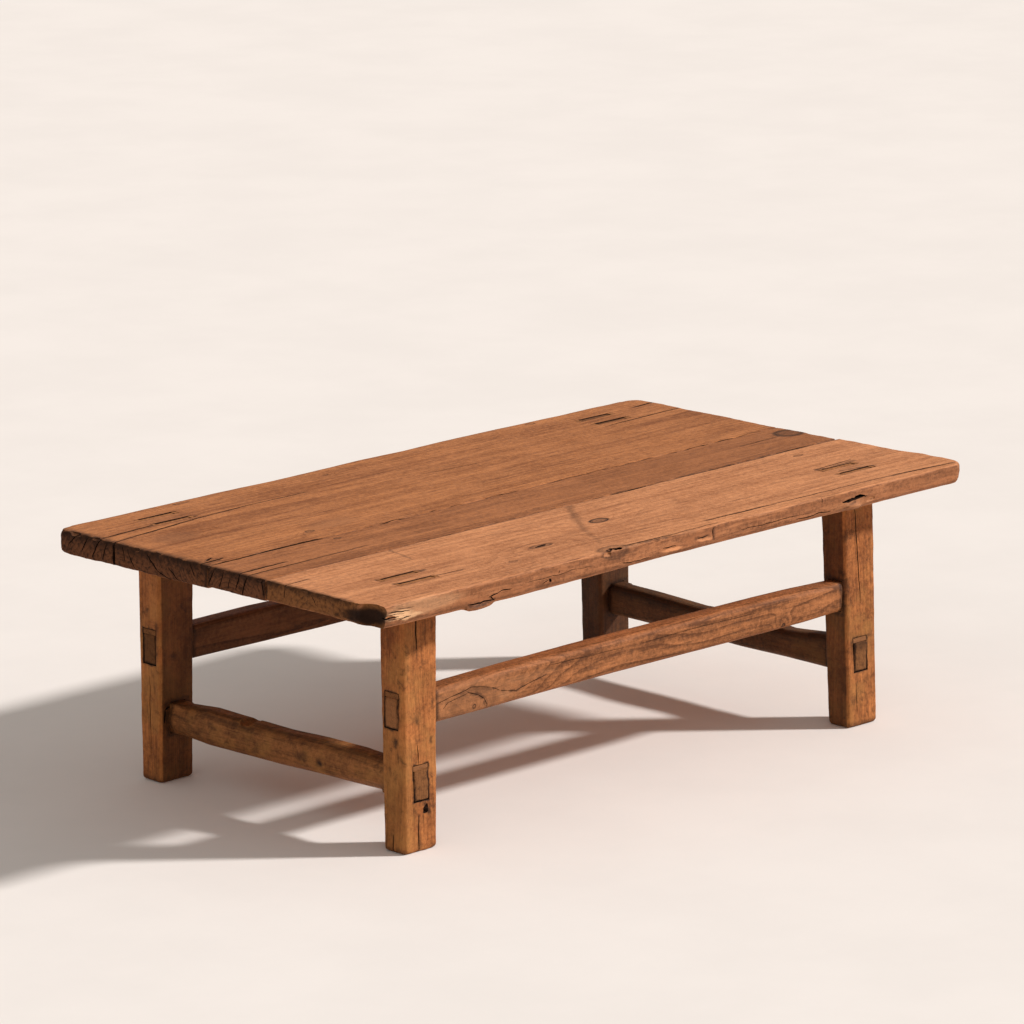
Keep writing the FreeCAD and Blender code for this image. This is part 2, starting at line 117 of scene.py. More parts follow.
class WoodColours(bpy.types.PropertyGroup):
    """Colours of the old wood."""

    back_light: colour("Back board, light", "Lightest grain of the back board", (0.53, 0.1968, 0.0676))
    back_dark: colour("Back board, dark", "Darkest grain of the back board", (0.235, 0.0738, 0.0229))
    middle_light: colour("Middle board, light", "Lightest grain of the middle board", (0.465, 0.168, 0.059))
    middle_dark: colour("Middle board, dark", "Darkest grain of the middle board", (0.215, 0.07, 0.023))
    front_light: colour("Front board, light", "Lightest grain of the front board", (0.7, 0.286, 0.12))
    front_dark: colour("Front board, dark", "Darkest grain of the front board", (0.36, 0.129, 0.049))
    leg_light: colour("Legs, light", "Lightest grain of the legs", (0.493, 0.168, 0.046))
    leg_dark: colour("Legs, dark", "Darkest grain of the legs", (0.173, 0.052, 0.013))
    bar_light: colour("Long stretchers, light", "Lightest grain of the long stretchers", (0.44, 0.162, 0.056))
    bar_dark: colour("Long stretchers, dark", "Darkest grain of the long stretchers", (0.125, 0.041, 0.012))
    end_bar_light: colour(
        "End stretchers, light", "Lightest grain of the end stretchers", (0.34, 0.128, 0.04)
    )
    end_bar_dark: colour("End stretchers, dark", "Darkest grain of the end stretchers", (0.1, 0.035, 0.0096))
    board_end: colour("Board ends", "End grain of the back and middle boards", (0.15, 0.054, 0.022))
    front_end: colour("Front board's end", "End grain of the front board", (0.225, 0.086, 0.028))
    tenon_end: colour("Tenon ends", "End grain of the stretchers' tenons and wedges", (0.225, 0.089, 0.03))
    tenon_top: colour("Tenon tops", "End grain of the tenons in the top", (0.4, 0.155, 0.055))
    torn: colour("Torn wood", "Broken fibres of splinters and chips", (0.42, 0.18, 0.075))
    pale: colour("Fresh splinters", "Fresh wood that a lost splinter leaves bare", (0.74, 0.42, 0.22))
    smudge: colour("Smudges", "Old dark smudges on the top", (0.19, 0.075, 0.035))
    # This colour is also blended in as painted shade: on inner faces, over the back right leg, round the bars
    # at the legs and along the tops of the end stretchers.
    crack: colour("Crack", "Dirt in cracks, knots and gaps", (0.02, 0.008, 0.004))
    # Also blended in low on the front left leg's left face as painted bounce light.
    straw: colour("Straw", "Yellowish patches of the legs and end stretchers", (0.37, 0.165, 0.043))
    wedge: colour("Wedges", "Hardwood wedges and pins", (0.24, 0.094, 0.032))


class StageLook(bpy.types.PropertyGroup):
    """Floor, light and camera."""

    floor: colour("Floor", "Colour of the plain floor", (0.865, 0.79, 0.735))
    sky: colour("Sky", "Colour of the even light from all round", (1.0, 0.98, 0.95))
    sky_strength: amount("Sky strength", "Level of the even light", 0.41)
    key_strength: amount("Key strength", "Level of the soft light from the front right", 3.8)
    fill_strength: amount("Fill strength", "Level of the weak light from the left", 0.26)
    key_spread: angle("Key spread", "Width of the front light, which softens its shadows", 4.5)
    fill_spread: angle("Fill spread", "Width of the weak light", 60)
    azimuth: angle("Azimuth", "Turn of the camera round the table, from straight in front", -45.0)
    elevation: angle("Elevation", "Height of the camera above the horizon", 13.77)
    roll: angle("Roll", "Tilt of the picture", -0.09)
    distance: length("Distance", "From the middle of the table to the camera", 9.447)
    lens: FloatProperty(
        name="Lens", description="Focal length for a sensor that is 36 mm wide", default=217.6, min=1.0,
        unit="CAMERA",
    )


class TableLook(bpy.types.PropertyGroup):
    """All settings of the plank table."""

    top: PointerProperty(type=TopSizes)
    frame: PointerProperty(type=FrameSizes)
    wood: PointerProperty(type=WoodColours)
    stage: PointerProperty(type=StageLook)


def look():
    """The settings of this scene."""
    return bpy.context.scene.plank_table


def mm(*values):
    """Millimetres as metres."""
    return tuple(value * 0.001 for value in values)


# Modelling by hand

ON_AXIS = 0.9
FLAT_LEAN = 0.97
LEAN_GAIN = 5
SMOOTH_BELOW = math.radians(42)


def deselect():
    """Leaves edit mode and selects nothing."""
    if bpy.context.object and bpy.context.object.mode != "OBJECT":
        bpy.ops.object.mode_set(mode="OBJECT")
    bpy.ops.object.select_all(action="DESELECT")


def activate(piece):
    """Makes piece the only selected object."""
    deselect()
    piece.select_set(True)
    bpy.context.view_layer.objects.active = piece


def discard(piece):
    """Deletes an object that has done its work."""
    activate(piece)
    bpy.ops.object.delete()


def settle(piece):
    """Puts the piece's place, turn and size into its mesh."""
    activate(piece)
    bpy.ops.object.transform_apply(location=True, rotation=True, scale=True)


def block(name, low, high):
    """A box between two corners."""
    deselect()
    low, high = Vector(low), Vector(high)
    bpy.ops.mesh.primitive_cube_add(size=1, location=(low + high) / 2)
    piece = bpy.context.object
    piece.name = name
    piece.scale = high - low
    settle(piece)
    return piece


def edit(piece, test, points=False):
    """Enters edit mode with the points that pass the test selected, or the edges by their middle and run."""
    activate(piece)
    mesh = piece.data
    bpy.context.tool_settings.mesh_select_mode = (points, not points, False)
    for item in (*mesh.vertices, *mesh.edges, *mesh.polygons):
        item.select = False
    if points:
        for point in mesh.vertices:
            point.select = test(point.co)
    else:
        for edge in mesh.edges:
            a, b = (mesh.vertices[index].co for index in edge.vertices)
            edge.select = test((a + b) / 2, b - a)
    bpy.ops.object.mode_set(mode="EDIT")


def leave():
    """Leaves edit mode."""
    bpy.ops.object.mode_set(mode="OBJECT")


def shift(piece, test, by):
    """Moves the points that pass the test."""
    edit(piece, test, points=True)
    bpy.ops.transform.translate(value=by)
    leave()


def resize(piece, test, by, centre):
    """Scales the points that pass the test about a centre."""
    edit(piece, test, points=True)
    bpy.ops.transform.resize(value=by, center_override=centre)
    leave()


def round_off(piece, test, width, segments=3):
    """Rounds the edges that pass the test."""
    edit(piece, test)
    bpy.ops.mesh.bevel(
        offset=width, offset_type="OFFSET", segments=segments, profile=0.5, affect="EDGES", clamp_overlap=True
    )
    leave()


def divide(piece, axis, cuts):
    """Cuts the edges that run along an axis into equal lengths."""
    edit(piece, lambda middle, run: abs(run.normalized()[axis]) > ON_AXIS)
    bpy.ops.mesh.subdivide(number_cuts=cuts)
    leave()


def weld(pieces):
    """Joins several pieces into the first."""
    activate(pieces[0])
    for piece in pieces[1:]:
        piece.select_set(True)
    bpy.ops.object.join()
    return bpy.context.object


def modify(piece, kind, **settings):
    """Adds a modifier with its settings and applies it."""
    modifier = piece.modifiers.new(kind.title(), kind)
    for name, value in settings.items():
        setattr(modifier, name, value)
    activate(piece)
    bpy.ops.object.modifier_apply(modifier=modifier.name)


def skin(piece, size):
    """Gives joined boxes one even skin."""
    modify(piece, "REMESH", mode="VOXEL", voxel_size=size)


def relax(piece, steps, group=""):
    """Softens the steps that the even skin leaves."""
    modify(piece, "SMOOTH", factor=0.5, iterations=steps, vertex_group=group)


def clouds(name, size, depth=2):
    """A soft random pattern for waves and dents."""
    pattern = bpy.data.textures.get(name) or bpy.data.textures.new(name, "CLOUDS")
    pattern.noise_scale = size
    pattern.noise_depth = depth
    pattern.cloud_type = "COLOR"
    return pattern


def waves(
    piece, pattern, height, stretch=(1, 1, 1), offset=(0, 0, 0), group="", middle=0.5, direction="NORMAL"
):
    """Moves the skin in and out by a random pattern that is stretched along the grain."""
    bpy.ops.object.empty_add(location=offset)
    place = bpy.context.object
    place.scale = stretch
    bpy.context.view_layer.update()
    modify(
        piece, "DISPLACE", texture=pattern, texture_coords="OBJECT", texture_coords_object=place,
        strength=height, mid_level=middle, direction=direction, vertex_group=group,
    )
    discard(place)


def gather(piece, name, weigh):
    """Keeps a group of points, each with the weight up to 1 that a function of it gives."""
    group = piece.vertex_groups.new(name=name)
    for point in piece.data.vertices:
        weight = weigh(point)
        if weight > 0:
            group.add([point.index], min(1.0, weight), "REPLACE")
    return name


def gather_arrises(piece, test):
    """Keeps a group of the points on the rounded arrises, heavier the more they lean between two faces."""

    def weigh(point):
        if not test(point.co):
            return 0.0
        return (FLAT_LEAN - max(abs(value) for value in point.normal)) * LEAN_GAIN

    return gather(piece, "Arrises", weigh)


def sliver(start, end, normal, width, depth, wobble=0.006, torn=0.0):
    """A long thin lens between two points of a face, sunk along its normal, to open a crack with."""
    start, end = Vector(start), Vector(end)
    along = end - start
    side = normal.cross(along).normalized()
    upright = along.cross(side).normalized()
    turn = Matrix((side, upright, along.normalized())).transposed()
    deselect()
    bpy.ops.mesh.primitive_uv_sphere_add(
        segments=10, ring_count=32, radius=1, location=(start + end) / 2, rotation=turn.to_euler()
    )
    lens = bpy.context.object
    lens.scale = (width / 2, depth, along.length / 2)
    settle(lens)
    waves(lens, clouds("Crack wander", 0.035), wobble, direction="RGB_TO_XYZ")
    if torn:
        waves(lens, clouds("Torn fibres", 0.012, 3), torn, direction="RGB_TO_XYZ")
    return lens


def gouge(centre, size, turn=(0, 0, 0), roughness=0.006):
    """A lumpy ball to break a piece of wood out with, placed in millimetres and turned in degrees."""
    deselect()
    bpy.ops.mesh.primitive_ico_sphere_add(
        subdivisions=4, radius=1, location=mm(*centre), rotation=[math.radians(a) for a in turn]
    )
    ball = bpy.context.object
    ball.scale = Vector(mm(*size)) / 2
    settle(ball)
    waves(ball, clouds("Torn fibres", 0.012, 3), roughness, stretch=(2, 1, 1), direction="RGB_TO_XYZ")
    return ball


def carve(piece, *cutters, wall=None):
    """Takes the space of cutters that stand apart out of a piece.

    The walls of the hollow get a material, or else the dirt of the gaps.
    """
    cutter = weld(cutters) if len(cutters) > 1 else cutters[0]
    clothe(cutter, wall or gap_dirt())
    before = len(piece.data.vertices)
    modify(
        piece, "BOOLEAN", operation="DIFFERENCE", solver="MANIFOLD", material_mode="TRANSFER", object=cutter
    )
    if len(piece.data.vertices) == before:
        raise RuntimeError("a cut left " + piece.name + " as it was")
    discard(cutter)


def carve_row(piece, cutters):
    """Carves a row of cutters of which only neighbours may overlap."""
    for part in (cutters[0::2], cutters[1::2]):
        if part:
            carve(piece, *part)


def clothe(piece, material):
    """Gives a piece its wood, before anything is carved out of it."""
    piece.data.materials.clear()
    piece.data.materials.append(material)


def hand_over(piece, node):
    """Shades a finished piece and puts it in its node's place."""
    activate(piece)
    bpy.ops.object.shade_smooth_by_angle(angle=SMOOTH_BELOW)
    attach(piece, "root")
    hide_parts(node)


# Reading the frame

TENON_LAYER = 0.395
WEDGE_LAYER = 0.39
WEDGE_REACH = 0.004
FOOT_LAYER = (0.003, 0.0075)
HEAD_LAYER = 0.001


def span(node, test=lambda point: True):
    """Lowest and highest corner of the points of a node that pass the test."""
    found = [point.co for point in frame["nodes"][node].data.vertices if test(point.co)]
    if not found:
        raise RuntimeError("no points of " + node + " where they were expected")
    low = Vector([min(point[axis] for point in found) for axis in range(3)])
    high = Vector([max(point[axis] for point in found) for axis in range(3)])
    return low, high


def box_of(node):
    """Lowest and highest corner of a whole node."""
    return [Vector(corner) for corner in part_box(node)]


def shoulder(leg):
    """Height at which a leg meets the underside of its board."""
    board = "front_board" if leg.startswith("front") else "back_board"
    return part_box(board)[0][2]


def leg_section(leg, height):
    """Lowest and highest corner of a leg's section at a height."""
    node = "leg_" + leg
    top = shoulder(leg)
    foot_low, foot_high = span(node, lambda p: FOOT_LAYER[0] < p.z < FOOT_LAYER[1])
    head_low, head_high = span(node, lambda p: abs(p.z - top) < HEAD_LAYER)
    share = (height - foot_low.z) / (top - foot_low.z)
    low = foot_low.lerp(head_low, share)
    high = foot_high.lerp(head_high, share)
    low.z = high.z = height
    return low, high


def tenon_rows(leg):
    """The corners of the two head tenons of a leg, at the top of the table."""
    node = "leg_" + leg
    low, high = span(node, lambda p: p.z > TENON_LAYER)
    middle = (low.y + high.y) / 2
    return (
        span(node, lambda p: p.z > TENON_LAYER and p.y < middle),
        span(node, lambda p: p.z > TENON_LAYER and p.y > middle),
    )


def wedged_slots(leg):
    """The room that each head tenon of a leg takes with its two wedges at the top of the table."""
    slots = []
    for low, high in tenon_rows(leg):
        beside = lambda p: p.z > WEDGE_LAYER and low.y - WEDGE_REACH < p.y < high.y + WEDGE_REACH
        wedge_low, wedge_high = span("head_wedges_" + leg, beside)
        first = Vector((min(low.x, wedge_low.x), min(low.y, wedge_low.y), low.z))
        last = Vector((max(high.x, wedge_high.x), max(high.y, wedge_high.y), high.z))
        slots.append((first, last))
    return slots


# Wires between nodes


class Wire:
    """An output of a node. Sums, products and the like of wires add nodes to the tree that it is in."""

    def __init__(self, socket):
        self.socket = socket
        self.tree = socket.id_data

    def reckon(self, operation, *others):
        """A Math node on a number, or a Vector Math node on a vector."""
        kind = "ShaderNodeMath" if self.socket.type == "VALUE" else "ShaderNodeVectorMath"
        item = put(self.tree, kind, dict(enumerate((self, *others))), operation=operation)
        return Wire(item.outputs[1 if operation in ("LENGTH", "DOT_PRODUCT") else 0])

    def __add__(self, other):
        return self.reckon("ADD", other)

    def __sub__(self, other):
        return self.reckon("SUBTRACT", other)

    def __mul__(self, other):
        return self.reckon("MULTIPLY", other)

    def __truediv__(self, other):
        return self.reckon("DIVIDE", other)


def plug(value, socket):
    """Links a wire to a socket, or sets the socket to a plain value."""
    if isinstance(value, Wire):
        socket.id_data.links.new(value.socket, socket)
    elif socket.type == "RGBA":
        socket.default_value = (*value, 1.0)
    else:
        socket.default_value = value


def put(tree, kind, inputs=None, **settings):
    """Adds a node with its settings, and plugs its inputs, which are given by name or number."""
    item = tree.nodes.new(kind)
    for name, value in settings.items():
        setattr(item, name, value)
    for name, value in (inputs or {}).items():
        plug(value, item.inputs[name])
    return item


def surface(tree, part="Object"):
    """Where a point of the surface is on its piece, or with Normal the way that it faces."""
    return Wire(put(tree, "ShaderNodeTexCoord").outputs[part])


def ramp(value, low, high, to_low=0.0, to_high=1.0, smooth=True):
    """Maps a range onto another, with soft ends."""
    inputs = {"Value": value, "From Min": low, "From Max": high, "To Min": to_low, "To Max": to_high}
    ends = "SMOOTHSTEP" if smooth else "LINEAR"
    return Wire(put(value.tree, "ShaderNodeMapRange", inputs, interpolation_type=ends).outputs[0])


def blend(mask, colour, over):
    """Lays a second colour over the first where the mask is strong."""
    inputs = {0: mask, 6: colour, 7: over}
    return Wire(put(mask.tree, "ShaderNodeMix", inputs, data_type="RGBA", clamp_factor=True).outputs[2])


def noise(place, scale, detail=2.0, roughness=0.5, distortion=0.0, output=0):
    """A soft random value, or with Color as output a vector of three."""
    inputs = {
        "Vector": place, "Scale": scale, "Detail": detail, "Roughness": roughness, "Distortion": distortion,
    }
    return Wire(put(place.tree, "ShaderNodeTexNoise", inputs).outputs[output])


def split(vector):
    """The three parts of a vector."""
    return [Wire(socket) for socket in put(vector.tree, "ShaderNodeSeparateXYZ", {0: vector}).outputs]


def largest(vector):
    """The largest of the three parts of a vector."""
    x, y, z = split(vector)
    return x.reckon("MAXIMUM", y.reckon("MAXIMUM", z))


# Effects that the finishes share

ORIGIN = (0.0, 0.0, 0.0)


def effect(title, **inputs):
    """Makes a function that fills a node group into one that places the group, which is built only once."""

    def build(fill):
        tree = bpy.data.node_groups.new(title, "ShaderNodeTree")
        for name, default in inputs.items():
            kind = "NodeSocketVector" if isinstance(default, tuple) else "NodeSocketFloat"
            socket = tree.interface.new_socket(name, in_out="INPUT", socket_type=kind)
            socket.default_value = default
        given = tree.nodes.new("NodeGroupInput").outputs
        masks = fill(*[Wire(given[name]) for name in inputs])
        for name in masks:
            tree.interface.new_socket(name, in_out="OUTPUT", socket_type="NodeSocketFloat")
        out = tree.nodes.new("NodeGroupOutput").inputs
        for name, mask in masks.items():
            plug(mask, out[name])
        return tree

    def keep(fill):
        def place(tree, **values):
            item = put(tree, "ShaderNodeGroup", node_tree=bpy.data.node_groups.get(title) or build(fill))
            for name, value in values.items():
                plug(value, item.inputs[name])
            return {socket.name: Wire(socket) for socket in item.outputs}

        return place

    return keep


@effect("Wood grain", Vector=ORIGIN, Ring=0.006, Wander=0.02, Swell=0.0)
def grain_of(place, ring, wander, swell):
    """Growth rings, fibre, pores and bands of wood with its grain along X and its pith at Y = Z = 0."""
    slow = place * (0.16, 1.0, 1.0)
    bend = (noise(slow, 9.0, 3.0, 0.45) - 0.5) * wander
    reach = (place * (0.0, 1.0, 1.0)).reckon("LENGTH") + bend
    saw = (reach / ring + swell).reckon("FRACT")
    late = saw.reckon("POWER", 2.6) * ramp(saw, 0.9, 1.0, 1.0, 0.0)
    lines = noise(place * (15.0, 145.0, 145.0), 1.0, 4.0, 0.6, 0.6)
    mottle = noise(place, 170.0, 4.0, 0.68, 0.3)
    pores = noise(place * (55.0, 1150.0, 1150.0), 1.0, 1.0)
    bands = noise(place * (1.6, 34.0, 34.0), 1.0, 3.0, 0.55, 0.4)
    along, across, up = split(place)
    round_pith = up.reckon("ARCTAN2", across) * 55.0
    spread = put(place.tree, "ShaderNodeCombineXYZ", {0: round_pith, 1: reach * 22.0, 2: along})
    return {
        "Rings": late * ramp(noise(slow, 26.0), 0.3, 0.7, 0.35, 1.0),
        "Fibre": noise(place * (9.0, 520.0, 520.0), 1.0, 4.0, 0.62),
        "Lines": ramp(lines, 0.2, 0.8, smooth=False),
        "Mottle": ramp(mottle, 0.25, 0.75, smooth=False),
        "Pores": ramp(pores, 0.58, 0.74),
        "Bands": ramp(bands, 0.25, 0.75, smooth=False),
        "Rays": ramp(noise(Wire(spread.outputs[0]), 1.0, 3.0, 0.6), 0.55, 0.68),
    }


@effect("Old patina", Vector=ORIGIN)
def patina_of(place):
    """Blotches, specks, dirt and dark streaks that an old waxed surface has."""
    streaks = noise(place * (11.0, 120.0, 120.0), 1.0, 5.0, 0.68, 0.3)
    return {
        "Blotches": ramp(noise(place, 11.0, 5.0, 0.6), 0.32, 0.68),
        "Specks": ramp(noise(place, 330.0, 1.0), 0.7, 0.78),
        "Dirt": ramp(noise(place, 55.0, 6.0, 0.7, 0.6), 0.52, 0.75),
        "Streaks": ramp(streaks, 0.54, 0.74),
    }


@effect("Faces of the wood", Grain=(1.0, 0.0, 0.0))
def faces_of(grain_way):
    """Tells end grain, worn arrises, the inner faces that get painted shade and the front by the way that a
    surface faces.
    """
    normal = surface(grain_way.tree, "Normal")
    inwards = surface(grain_way.tree) * (-2.0, -3.6, 0.0)
    return {
        "End": ramp(normal.reckon("DOT_PRODUCT", grain_way).reckon("ABSOLUTE"), 0.32, 0.7),
        "Arris": ramp(largest(normal.reckon("ABSOLUTE")), 0.72, 0.97, 1.0, 0.0),
        # Faces that look in towards the middle of the table, which are darkened as painted shade.
        "Painted inner shade": ramp(normal.reckon("DOT_PRODUCT", inwards), 0.2, 0.7),
        "Front": ramp(normal.reckon("DOT_PRODUCT", TO_FRONT), 0.5, 0.95, smooth=False),
    }


@effect("Stain line", Vector=ORIGIN, From=ORIGIN, To=ORIGIN, Width=0.003)
def stain_line(place, start, end, width):
    """A soft dark line between two points."""
    run = end - start
    way = place - start
    share = way.reckon("DOT_PRODUCT", run) / run.reckon("DOT_PRODUCT", run)
    share = share.reckon("MAXIMUM", 0.0).reckon("MINIMUM", 1.0)
    foot = put(run.tree, "ShaderNodeVectorMath", {0: run, "Scale": share}, operation="SCALE")
    away = (way - Wire(foot.outputs[0])).reckon("LENGTH")
    return {"Mask": ramp(away, 0.0, width, 1.0, 0.0)}


@effect("Knot", Vector=ORIGIN, Centre=ORIGIN, Size=(0.02, 0.02, 0.02))
def knot(place, centre, size):
    """A knot: a ringed dark heart, a soft patch and a swell that bends the rings round it."""
    away = ((place - centre) / size).reckon("LENGTH")
    inside = ramp(away, 0.42, 0.6, 1.0, 0.0)
    ring = (away * 5.5).reckon("FRACT").reckon("POWER", 2.0)
    outline = ramp(away, 0.3, 0.46) * inside
    heart = inside * (ring * 0.3 + 0.38) + outline * 0.6
    return {
        "Heart": heart.reckon("MINIMUM", 1.0),
        "Patch": ramp(away, 0.3, 0.62, 1.0, 0.0),
        "Swell": (away * away * -0.35).reckon("EXPONENT"),
    }


@effect("Rim", Vector=ORIGIN, Centre=ORIGIN, Half=ORIGIN, Width=0.003)
def rim(place, centre, half, width):
    """A dark rim round a box-shaped opening."""
    away = (place - centre).reckon("ABSOLUTE") - half
    outside = away.reckon("MAXIMUM", ORIGIN).reckon("LENGTH")
    distance = outside + largest(away).reckon("MINIMUM", 0.0)
    return {"Mask": ramp(distance.reckon("ABSOLUTE"), 0.0, width, 1.0, 0.0)}


# Finishes

GRAIN_TURN = {"X": (0, 0, 0), "Y": (0, 0, math.radians(-90)), "Z": (0, math.radians(90), 0)}
GRAIN_WAY = {"X": (1, 0, 0), "Y": (0, 1, 0), "Z": (0, 0, 1)}
TONE_PARTS = {"Fibre": 1.0, "Lines": 0.6, "Bands": 0.75, "Mottle": 0.85}
RELIEF_PARTS = {"Lines": 0.6, "Mottle": 0.8, "Pores": -1.0, "Rings": -0.5}
PLAIN_TONE = 0.72


def new_finish(name):
    """A new material, and the place of a point on its piece."""
    material = bpy.data.materials.new(name)
    material.use_nodes = True
    return material, surface(material.node_tree)


def lay_on(material, colour, roughness, gloss, height=None, bump=0.0, depth=0.0):
    """Plugs what a finish looks like into its shader."""
    shader = material.node_tree.nodes["Principled BSDF"].inputs
    plug(colour, shader["Base Color"])
    plug(roughness, shader["Roughness"])
    plug(gloss, shader["Specular IOR Level"])
    if height:
        inputs = {"Strength": bump, "Distance": depth, "Height": height}
        plug(Wire(put(material.node_tree, "ShaderNodeBump", inputs).outputs[0]), shader["Normal"])


def gap_dirt(name="Dirt in the gaps", crumbs=3.2):
    """The dark dirt on the walls of cracks and mortises, with crumbs that are so many times lighter."""
    if name in bpy.data.materials:
        return bpy.data.materials[name]
    material, place = new_finish(name)
    dirt = look().wood.crack
    patina = patina_of(place.tree, Vector=place)
    shade = blend(patina["Dirt"], dirt, [value * crumbs for value in dirt])
    roughness = ramp(patina["Blotches"], 0.0, 1.0, 0.85, 1.0)
    lay_on(material, shade, roughness, 0.1, patina["Dirt"], 0.5, 0.001)
    return material


def torn_wood():
    """The broken fibres on the walls of chips and splinters."""
    wood = look().wood
    return old_wood("Torn wood", wood.torn, wood.front_dark, rings=0.3, streaks=0.8, end=wood.front_end)


def old_wood(
    name, light, dark, axis="X", pith=(0, 0, 0), ring=0.006, wander=0.02, rings=0.5, streaks=0.35,
    blotches=0.22, grime=0.14, checks=0.7, front=0.0, end=None, tint=None, knots=(), lines=(), rims=(),
    patches=(),
):
    """Old waxed wood: rings and fibre along an axis, end grain, worn arrises, knots, stains and rims, with
    painted shade on inner faces.
    """
    if name in bpy.data.materials:
        return bpy.data.materials[name]
    wood = look().wood
    # The colour of dirt, which is also the colour of the painted shade below.
    dirt = wood.crack
    material, place = new_finish(name)
    tree = place.tree
    unsteady = noise(place, 70.0, 3.0, output="Color") - (0.5, 0.5, 0.5)
    drawn = place + unsteady * (0.012, 0.008, 0.008)
    nearly = place + unsteady * (0.006, 0.004, 0.004)

    # Dark marks, some of them painted shade
    swell, hearts, stains_and_shade = 0.0, 0.0, 0.0
    for centre, size, strength in knots:
        spot = knot(tree, Vector=nearly, Centre=mm(*centre), Size=mm(*size))
        swell = spot["Swell"] * 3.0 + swell
        hearts = (spot["Heart"] * strength).reckon("MAXIMUM", hearts)
    for start, finish, width, strength in lines:
        line = stain_line(tree, Vector=drawn, From=mm(*start), To=mm(*finish), Width=width * 0.001)
        stains_and_shade = (line["Mask"] * strength).reckon("MAXIMUM", stains_and_shade)
    for centre, half, width, strength in rims:
        edge = rim(tree, Vector=drawn, Centre=centre, Half=half, Width=width)
        stains_and_shade = (edge["Mask"] * strength).reckon("MAXIMUM", stains_and_shade)
    broken = ramp(noise(place, 85.0, 3.0, 0.6), 0.3, 0.55, 0.42, 1.0)
    dark_marks = (broken * stains_and_shade).reckon("MAXIMUM", hearts)

    # Sound wood, with its end grain and worn arrises
    inputs = {"Vector": place, "Rotation": GRAIN_TURN[axis], "Location": mm(*pith)}
    turned = Wire(put(tree, "ShaderNodeMapping", inputs).outputs[0])
    grain = grain_of(tree, Vector=turned, Ring=ring, Wander=wander, Swell=swell)
    patina = patina_of(tree, Vector=turned)
    faces = faces_of(tree, Grain=GRAIN_WAY[axis])
    tone = grain["Rings"] * -rings - patina["Blotches"] * blotches + PLAIN_TONE
    for part, weight in TONE_PARTS.items():
        tone = tone + (grain[part] - 0.5) * weight
    shade = blend(tone, dark, light)
    if tint:
        shade = blend(ramp(noise(turned, 17.0, 4.0, 0.6), 0.42, 0.68, 0.0, 0.5), shade, tint)
    cut = blend(grain["Rings"] * checks, end or wood.tenon_end, dirt)
    cut = blend(grain["Rays"] * (checks * 0.3), cut, dirt)
    cut = blend(ramp(grain["Mottle"], 0.42, 0.8, 0.0, checks * 0.9), cut, dirt)
    shade = blend(faces["End"], shade, cut)
    shade = blend(faces["Arris"] * 0.22 * ramp(faces["End"], 0.0, 1.0, 1.0, 0.0, smooth=False), shade, light)
    if front:
        aged = faces["Front"] * ramp(grain["Lines"], 0.25, 0.75, front, front * 0.55)
        aged = aged * ramp(grain["Mottle"], 0.25, 0.75, 0.66, 1.34)
        shade = blend(aged, shade, [value * 0.6 for value in dark])

    # Patches, some of them painted shade or painted bounce light, then dirt and the painted shade of the
    # inner faces
    for centre, size, strength, hue in patches:
        spot = knot(tree, Vector=drawn, Centre=mm(*centre), Size=mm(*size))
        shade = blend(spot["Patch"] * strength, shade, getattr(wood, hue))
    # Dirt, and the painted shade of the inner faces and of some dark marks
    dirt_and_shade = (
        (patina["Streaks"], streaks), (grain["Pores"], 0.3), (patina["Dirt"], grime),
        (patina["Specks"], 0.35), (faces["Painted inner shade"], 0.62), (dark_marks, 1.0),
    )
    for mask, strength in dirt_and_shade:
        shade = blend(mask * strength, shade, dirt)

    # Relief of the fibre
    height = grain["Fibre"] * 0.9 - patina["Streaks"] * 0.5 - dark_marks * 1.2
    for part, weight in RELIEF_PARTS.items():
        height = height + grain[part] * weight
    roughness = patina["Blotches"] * 0.06 + faces["End"] * 0.3 + 0.62
    lay_on(material, shade, roughness, 0.16, height, 0.45, 0.0008)
    return material


# The boards of the top

PLAN_CORNERS = {"back_board": (0.016, 0.024), "front_board": (0.006, 0.034)}
SEAM_OVERLAP = 0.0008
END_LAYER = 0.012
NEAR_CORNER = 1e-5
LEVEL = 1e-4
CROSSWISE = 0.15
LENGTHWISE = 0.1
ENDS_FROM = 0.585
WORN_ENDS_FROM = 0.55
NEAR_EDGE = 0.02
AT_FRONT = 0.004
BOARD_LEGS = {"back_board": ("back_left", "back_right"), "front_board": ("front_left", "front_right")}

# Left end of each board at the front and the back, then its right end, in millimetres.

BOARD_ENDS = {
    "back_board": (-621, -628, 623, 614),
    "middle_board": (-619, -621, 628, 624),
    "front_board": (-617, -619, 659, 635),
}


def seams_of_boards():
    """Where each board's front edge, then its back edge, meets the left and the right end."""
    low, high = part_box("middle_board")
    left = span("middle_board", lambda p: p.x < low[0] + END_LAYER)
    right = span("middle_board", lambda p: p.x > high[0] - END_LAYER)
    front = (left[0].y, right[0].y)
    back = (left[1].y, right[1].y)
    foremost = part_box("front_board")[0][1]
    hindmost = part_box("back_board")[1][1]
    return {
        "back_board": (*(y - SEAM_OVERLAP for y in back), hindmost, hindmost),
        "middle_board": (*front, *back),
        "front_board": (foremost, foremost, *(y + SEAM_OVERLAP for y in front)),
    }


